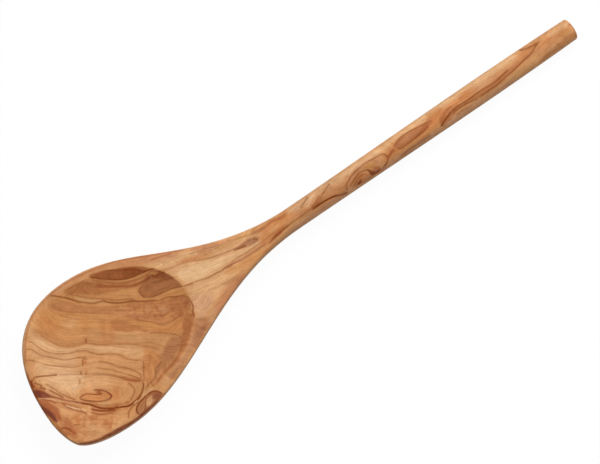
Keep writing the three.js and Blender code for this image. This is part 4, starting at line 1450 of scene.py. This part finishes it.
    def trace(
        self, points: Array, camera: PhotoCamera, skin: BVHTree
    ) -> tuple[Array, Array, Array]:
        """The nearest growth line at points of the skin.

        Args:
            points: X, Y and Z in millimetres.
            camera: The photograph's camera.
            skin: The spoon's skin in millimetres.

        Returns:
            Distance from the line in half widths, its display colour from 0 to 1, and how far the wood
            takes it.
        """
        level = self.flatten(points)
        nearest = np.full(len(points), self.line_reach)
        place = np.full(len(points), self.line_reach / self.line_thinnest)
        colour = np.zeros((len(points), 3))
        depth = np.zeros(len(points))
        for line in ALL_LINES:
            path = self.path(line, camera, skin)
            near = self.near(level, path, self.line_reach)
            distance, share, _ = measure_from_line(level[near], path)
            length = np.linalg.norm(np.diff(path, axis=0), axis=1).sum()
            wear = self.line_wear.at(share * length, np.full(len(near), line.year))
            uneven = lerp(*self.wear_range, wear)
            known = 1 - smoothstep(distance, self.line_hold, self.line_reach)
            closer = distance < nearest[near]
            rows = near[closer]
            nearest[rows] = distance[closer]
            place[rows] = 2 * distance[closer] / line.width
            colour[rows] = line.tone.display
            depth[rows] = np.clip(line.depth * uneven * known * self.ends(share), 0.0, 1.0)[closer]
        return place, colour, depth

    @staticmethod
    def near(points: Array, line: Array, reach: float) -> Array:
        """Rows of the points within reach of a line's box."""
        low, high = line.min(axis=0) - reach, line.max(axis=0) + reach
        return np.flatnonzero(((points > low) & (points < high)).all(axis=1))

    def years(self, points: Array, camera: PhotoCamera, skin: BVHTree) -> Array:
        """Growth year of the wood at points of the skin, smooth through all growth lines.

        Args:
            points: X, Y and Z in millimetres.
            camera: The photograph's camera.
            skin: The spoon's skin in millimetres.

        Returns:
            The year at each point.
        """
        knots, values = [], []
        for line in ALL_LINES:
            knots.append(self.project(line.pixels, camera, skin))
            values.append(np.full(len(line.pixels), line.year))
        knots, values = np.concatenate(knots), np.concatenate(values)
        kernel = self.plate(knots, knots) + self.year_smoothing * np.eye(len(knots))
        ones = np.concatenate([np.ones((len(knots), 1)), knots], axis=1)
        system = np.block([[kernel, ones], [ones.T, np.zeros((3, 3))]])
        weights = np.linalg.solve(system, np.concatenate([values, np.zeros(3)]))
        level = self.flatten(points)
        years = weights[-3] + level @ weights[-2:]
        for start in range(0, len(level), BATCH):
            batch = slice(start, start + BATCH)
            years[batch] += self.plate(level[batch], knots) @ weights[:-3]
        return years

    @staticmethod
    def plate(a: Array, b: Array) -> Array:
        """Thin-plate kernel between two sets of points."""
        square = ((a[:, None] - b[None]) ** 2).sum(axis=2)
        return square * np.log(square + TINY) / 2


@dataclass(frozen=True)
class GrainLayer:
    """A layer of fine marks along the grain.

    Attributes:
        scale: Marks for each growth year, and for each millimetre in X and in Y.
        low: Noise value at which the first factor holds.
        high: Noise value at which the second factor holds.
        first: Colour factor at the low value.
        second: Colour factor at the high value.
    """

    scale: tuple[float, float, float]
    low: float
    high: float
    first: Colour
    second: Colour


@dataclass(frozen=True)
class OiledOlive:
    """Sanded olive wood with a coat of oil: its figure and growth lines, fine marks and a satin skin.

    Attributes:
        roughness: Least and largest roughness of the skin.
        specular: Strength of its gloss.
        line_core: Half widths from a growth line's middle up to which it has its full tone.
        line_edge: Half widths at which the line ends.
        bump_strength: Strength of the fibres' relief.
        bump_height: Height of that relief in metres.
        noise_detail: Finer octaves in the fine marks.
        noise_roughness: Weight of those octaves.
        streaks: Broad streaks along the grain.
        fibres: Fibres along the grain, which also give the relief and the gloss.
        pores: Dark pores.
        mottle: Broad mottle.
        grit: Fine mottle.
    """

    roughness: tuple[float, float] = (0.44, 0.58)
    specular: float = 0.08
    line_core: float = 0.4
    line_edge: float = 2.1
    bump_strength: float = 0.25
    bump_height: float = 0.05 * MM
    noise_detail: float = 2.0
    noise_roughness: float = 0.55
    streaks: GrainLayer = GrainLayer((3.5, 0.05, 0.05), 0.3, 0.7, (0.88, 0.85, 0.82), (1.07, 1.07, 1.07))
    fibres: GrainLayer = GrainLayer((13.0, 0.09, 0.09), 0.3, 0.7, (0.86, 0.83, 0.8), (1.08, 1.09, 1.1))
    pores: GrainLayer = GrainLayer((30.0, 0.4, 0.4), 0.56, 0.72, (1.0, 1.0, 1.0), (0.72, 0.66, 0.6))
    mottle: GrainLayer = GrainLayer((0.0, 0.32, 0.32), 0.3, 0.7, (0.93, 0.92, 0.91), (1.05, 1.06, 1.07))
    grit: GrainLayer = GrainLayer((0.0, 1.9, 1.9), 0.25, 0.75, (0.9, 0.89, 0.88), (1.08, 1.09, 1.1))

    def build(self) -> bpy.types.Material:
        """Makes the material.

        Returns:
            The material.
        """
        material = bpy.data.materials.new("oiled_olive")
        material.use_nodes = True
        tree = material.node_tree
        shader = tree.nodes["Principled BSDF"]
        shader.inputs["Specular IOR Level"].default_value = self.specular
        grain = self.attribute(tree, "grain").outputs["Vector"]
        colour = self.attribute(tree, "figure").outputs["Color"]
        heights = {}
        for layer in (self.streaks, self.fibres, self.pores, self.mottle, self.grit):
            factor, heights[layer] = self.marks(tree, grain, layer)
            colour = self.mix(tree, "MULTIPLY", 1.0, colour, factor)
        line = self.attribute(tree, "line")
        colour = self.mix(tree, "MIX", self.line_amount(tree, line), colour, line.outputs["Color"])
        fibre = heights[self.fibres]
        low, high = self.roughness
        gloss = add_node(tree, "ShaderNodeMapRange", {"Value": fibre, "To Min": low, "To Max": high})
        relief = {"Height": fibre, "Strength": self.bump_strength, "Distance": self.bump_height}
        bump = add_node(tree, "ShaderNodeBump", relief)
        tree.links.new(colour, shader.inputs["Base Color"])
        tree.links.new(gloss.outputs["Result"], shader.inputs["Roughness"])
        tree.links.new(bump.outputs["Normal"], shader.inputs["Normal"])
        return material

    @staticmethod
    def attribute(tree: Tree, name: str) -> bpy.types.Node:
        """A node that reads an attribute of the skin."""
        return add_node(tree, "ShaderNodeAttribute", {}, attribute_name=name)

    @staticmethod
    def mix(
        tree: Tree, blend: str, factor: SocketValue, under: SocketValue, over: SocketValue
    ) -> Socket:
        """The mix of a colour under and a colour over, by a factor."""
        inputs = {"Factor": factor, "A": under, "B": over}
        return add_node(tree, "ShaderNodeMix", inputs, data_type="RGBA", blend_type=blend).outputs["Result"]

    def line_amount(self, tree: Tree, line: bpy.types.Node) -> Socket:
        """How far the wood takes the tone of the nearest growth line.

        Args:
            tree: Tree that gets the nodes.
            line: Node that gives the line's tone and depth.

        Returns:
            The value's output.
        """
        ramp = {
            "Value": self.attribute(tree, "line_place").outputs["Fac"],
            "From Min": self.line_core,
            "From Max": self.line_edge,
            "To Min": 1.0,
            "To Max": 0.0,
        }
        core = add_node(tree, "ShaderNodeMapRange", ramp, interpolation_type="SMOOTHSTEP").outputs["Result"]
        amount = add_node(tree, "ShaderNodeMath", {0: core, 1: line.outputs["Alpha"]}, operation="MULTIPLY")
        return amount.outputs["Value"]

    def marks(
        self, tree: Tree, grain: Socket, layer: GrainLayer
    ) -> tuple[Socket, Socket]:
        """Nodes of a layer of fine marks.

        Args:
            tree: Tree that gets the nodes.
            grain: Output with the growth year and the place along the grain.
            layer: The layer.

        Returns:
            The colour factor and the noise value behind it.
        """
        stretch = add_node(tree, "ShaderNodeVectorMath", {0: grain, 1: layer.scale}, operation="MULTIPLY")
        texture = {
            "Vector": stretch.outputs["Vector"],
            "Scale": 1.0,
            "Detail": self.noise_detail,
            "Roughness": self.noise_roughness,
        }
        noise = add_node(tree, "ShaderNodeTexNoise", texture).outputs["Fac"]
        ramp = add_node(tree, "ShaderNodeValToRGB", {"Fac": noise})
        low, high = ramp.color_ramp.elements
        low.position, high.position = layer.low, layer.high
        low.color, high.color = (*layer.first, 1.0), (*layer.second, 1.0)
        return ramp.outputs["Color"], noise


@dataclass
class CarvedSpoon:
    """The whole spoon: handle, neck and head with its hollow, one piece of wood.

    Attributes:
        shape: The carved form.
        figure: The grain on its skin.
        finish: The material.
        painted_flank_shade: Painted shade: factor on the wood's display colour on the steep flanks, which
            turn away from the light.
        painted_shade_slope: Upward share of the skin's normal where the painted shade is full, and where it
            ends.
        head_sections: Lines across the head.
        handle_sections: Lines across the handle.
        end_sections: Lines across the rounding of its end.
        top_step: Distance between points across the top, in millimetres.
        back_step: Distance between points across the back, in millimetres.
        curve_samples: Points of a line across before they are spaced evenly.
    """

    shape: SpoonShape = field(default_factory=SpoonShape)
    figure: OliveFigure = field(default_factory=OliveFigure)
    finish: OiledOlive = field(default_factory=OiledOlive)
    # Painted shade: the steep flanks, which turn away from the light, are darkened in the colour.
    painted_flank_shade: Colour = (0.76, 0.73, 0.72)
    painted_shade_slope: tuple[float, float] = (-0.3, 0.1)
    head_sections: int = 390
    handle_sections: int = 400
    end_sections: int = 5
    top_step: float = 0.38
    back_step: float = 1.3
    curve_samples: int = 700

    def skin(self) -> tuple[Array, list[tuple[int, int, int]]]:
        """The spoon's skin: rings of evenly spaced points from the corner to the handle's end.

        Returns:
            Points in millimetres and triangles of point numbers.
        """
        shape = self.shape
        sections = shape.sections(self.head_sections, self.handle_sections, self.end_sections)
        across = np.cos(np.linspace(0.0, math.pi, self.curve_samples))
        tops = shape.surface(sections, np.tile(across, (len(sections.radius), 1)), top=True)
        backs = shape.surface(sections, np.tile(-across, (len(sections.radius), 1)), top=False)
        corner = shape.corner
        points = [np.array([[*corner, shape.rim_edge_height - shape.rim_slope * corner[0]]])]
        triangles: list[tuple[int, int, int]] = []
        count = 1
        before: list[list[int]] = []
        for top, back in zip(tops, backs):
            halves = []
            for curve, step in ((top, self.top_step), (back, self.back_step)):
                even = self.space_evenly(curve, step)
                points.append(even)
                halves.append(list(range(count, count + len(even))))
                count += len(even)
            rim = [halves[0] + [halves[1][0]], halves[1] + [halves[0][0]]]
            for near, far in zip(before or [[0], [0]], rim):
                triangles += self.zip_rings(near, far)
            before = rim
        ring = before[0] + before[1][1:-1]
        points.append(np.concatenate([tops[-1], backs[-1]]).mean(axis=0)[None])
        triangles += [(count, a, b) for a, b in zip(ring, ring[1:] + ring[:1])]
        return np.concatenate(points), triangles

    @staticmethod
    def space_evenly(curve: Array, step: float) -> Array:
        """Points along a curve at even steps, without its last point.

        Args:
            curve: Points of the curve.
            step: Length of a step, in millimetres.

        Returns:
            The points, a few even on a short curve.
        """
        length = np.concatenate([[0.0], np.cumsum(np.linalg.norm(np.diff(curve, axis=0), axis=1))])
        count = max(FEWEST_POINTS, math.ceil(length[-1] / step))
        wanted = length[-1] * np.arange(count) / count
        return np.stack([np.interp(wanted, length, curve[:, k]) for k in range(3)], axis=1)

    @staticmethod
    def zip_rings(near: list[int], far: list[int]) -> list[tuple[int, int, int]]:
        """Triangles between two rows of points, whatever their counts.

        Args:
            near: Point numbers of one row.
            far: Point numbers of the next row.

        Returns:
            The triangles.
        """
        triangles = []
        i = j = 0
        while i < len(near) - 1 or j < len(far) - 1:
            if i < len(near) - 1 and (i + 1) * (len(far) - 1) <= (j + 1) * (len(near) - 1):
                triangles.append((near[i], near[i + 1], far[j]))
                i += 1
            else:
                triangles.append((near[i], far[j + 1], far[j]))
                j += 1
        return triangles

    def offset(self, box: tuple[Vector, Vector]) -> Array:
        """Way from the middle of the bowl, on the table, to the origin of the CAD part, in millimetres."""
        end, side = self.shape.handle_end, self.shape.port_half_width
        return np.array([box[1].x / MM - end, box[1].y / MM - side, 0.0])

    def build(self, box: tuple[Vector, Vector], camera: PhotoCamera) -> bpy.types.Object:
        """Makes the spoon where the CAD part lies and dresses it.

        Args:
            box: Lowest and highest corner of the CAD part in metres.
            camera: The photograph's camera.

        Returns:
            The spoon object.
        """
        points, faces = self.skin()
        points += self.offset(box)
        mesh = bpy.data.meshes.new("carved_spoon_skin")
        mesh.from_pydata((points * MM).tolist(), [], faces)
        mesh.shade_smooth()
        spoon = bpy.data.objects.new("carved_spoon_skin", mesh)
        bpy.context.collection.objects.link(spoon)
        self.dress(mesh, points, faces, box, camera)
        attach(spoon, "root")
        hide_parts("carved_spoon")
        LOG.info("spoon: %d points, %d triangles", len(points), len(faces))
        return spoon

    def dress(
        self,
        mesh: bpy.types.Mesh,
        points: Array,
        faces: list[Sequence[int]],
        box: tuple[Vector, Vector],
        camera: PhotoCamera,
    ) -> None:
        """Lays the wood's figure, with painted shade on the steep flanks, and the finish on the skin.

        Args:
            mesh: The skin.
            points: Its points in millimetres.
            faces: Its faces.
            box: Lowest and highest corner of the CAD part in metres.
            camera: The photograph's camera.
        """
        skin = BVHTree.FromPolygons([tuple(p) for p in points], faces)
        years = self.figure.years(points, camera, skin)
        land = self.shape.land_share(points[:, :2] - self.offset(box)[:2])
        # Painted shade: the colour darkens where the skin's normal turns down, away from the light.
        normals = np.zeros(3 * len(points))
        mesh.vertex_normals.foreach_get("vector", normals)
        shade_on_flanks = 1 - smoothstep(normals[2::3], *self.painted_shade_slope)
        shade_on_flanks = lerp(1.0, np.array(self.painted_flank_shade), shade_on_flanks[:, None])
        colour = display_to_linear(self.figure.paint(points, years, land, camera, skin) * shade_on_flanks)
        place, line_colour, depth = self.figure.trace(points, camera, skin)
        line_colour = display_to_linear(line_colour)
        for name, kind, key, values in (
            ("figure", "FLOAT_COLOR", "color", np.hstack([colour, np.ones((len(colour), 1))])),
            ("line", "FLOAT_COLOR", "color", np.hstack([line_colour, depth[:, None]])),
            ("line_place", "FLOAT", "value", place),
            ("grain", "FLOAT_VECTOR", "vector", np.stack([years, points[:, 0], points[:, 1]], axis=1)),
        ):
            mesh.attributes.new(name, kind, "POINT").data.foreach_set(key, values.ravel())
        mesh.materials.append(self.finish.build())


@dataclass
class Studio:
    """A pale floor, a bright surround and one large soft lamp behind the spoon. Lengths in metres."""

    floor_size: float = 6.0
    floor_drop: float = 0.0002
    floor_colour: Colour = (0.5, 0.5, 0.5)
    floor_glow: float = 0.96
    surround: float = 0.4
    lamp_place: tuple[float, float, float] = (0.7, 0.35, 1.2)
    lamp_size: float = 0.9
    lamp_power: float = 16.4

    def build(self) -> None:
        """Makes the floor, the world and the lamp."""
        self.build_floor()
        self.build_world()
        self.build_lamp()

    def build_floor(self) -> None:
        """Makes the floor: lit as a pale surface, and white with a faint shadow to the camera."""
        half = self.floor_size / 2
        mesh = bpy.data.meshes.new("floor")
        corners = [(-half, -half, 0), (half, -half, 0), (half, half, 0), (-half, half, 0)]
        mesh.from_pydata(corners, [], [(0, 1, 2, 3)])
        floor = bpy.data.objects.new("floor", mesh)
        floor.location.z = -self.floor_drop
        bpy.context.collection.objects.link(floor)
        material = bpy.data.materials.new("pale_floor")
        material.use_nodes = True
        tree = material.node_tree
        tree.nodes.clear()
        matt = add_node(tree, "ShaderNodeBsdfDiffuse", {"Color": (*self.floor_colour, 1.0)}).outputs["BSDF"]
        white = add_node(tree, "ShaderNodeBsdfDiffuse", {"Color": WHITE}).outputs["BSDF"]
        glow = add_node(tree, "ShaderNodeEmission", {"Strength": 1.0}).outputs["Emission"]
        bright = add_node(tree, "ShaderNodeMixShader", {"Fac": self.floor_glow, 1: white, 2: glow})
        shaders = {"Fac": self.seen_directly(tree), 1: matt, 2: bright.outputs["Shader"]}
        mix = add_node(tree, "ShaderNodeMixShader", shaders)
        add_node(tree, "ShaderNodeOutputMaterial", {"Surface": mix.outputs["Shader"]})
        mesh.materials.append(material)
        floor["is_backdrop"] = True

    @staticmethod
    def seen_directly(tree: Tree) -> Socket:
        """A value that is 1 for what the camera sees, directly or in a gloss or a glass.

        Args:
            tree: Tree that gets its nodes.

        Returns:
            The value's output.
        """
        path = add_node(tree, "ShaderNodeLightPath", {})
        value = path.outputs["Is Camera Ray"]
        for name in ("Is Glossy Ray", "Is Transmission Ray"):
            larger = add_node(tree, "ShaderNodeMath", {0: value, 1: path.outputs[name]}, operation="MAXIMUM")
            value = larger.outputs[0]
        return value

    def build_world(self) -> None:
        """Makes the bright surround: white where it is seen, and dimmer as light."""
        world = bpy.data.worlds.new("surround")
        bpy.context.scene.world = world
        world.use_nodes = True
        tree = world.node_tree
        background = tree.nodes["Background"]
        background.inputs["Color"].default_value = WHITE
        levels = {"Value": self.seen_directly(tree), "To Min": self.surround, "To Max": 1.0}
        strength = add_node(tree, "ShaderNodeMapRange", levels)
        tree.links.new(strength.outputs["Result"], background.inputs["Strength"])

    def build_lamp(self) -> None:
        """Makes the soft lamp behind the spoon."""
        data = bpy.data.lights.new("soft_lamp", "AREA")
        data.shape = "DISK"
        data.size = self.lamp_size
        data.energy = self.lamp_power
        lamp = bpy.data.objects.new("soft_lamp", data)
        lamp.location = self.lamp_place
        lamp.rotation_mode = "QUATERNION"
        lamp.rotation_quaternion = (-Vector(self.lamp_place)).to_track_quat("-Z", "Y")
        bpy.context.collection.objects.link(lamp)


def main() -> None:
    """Builds the spoon, the studio and the camera."""
    logging.basicConfig(level=logging.INFO, format="%(message)s")
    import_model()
    cad_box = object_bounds()
    bpy.context.scene.view_settings.view_transform = "Standard"
    camera = PhotoCamera()
    camera.build()
    LOG.info("camera: ready")
    CarvedSpoon().build(cad_box, camera)
    Studio().build()
    LOG.info("studio: ready")


if __name__ == "__main__":
    main()
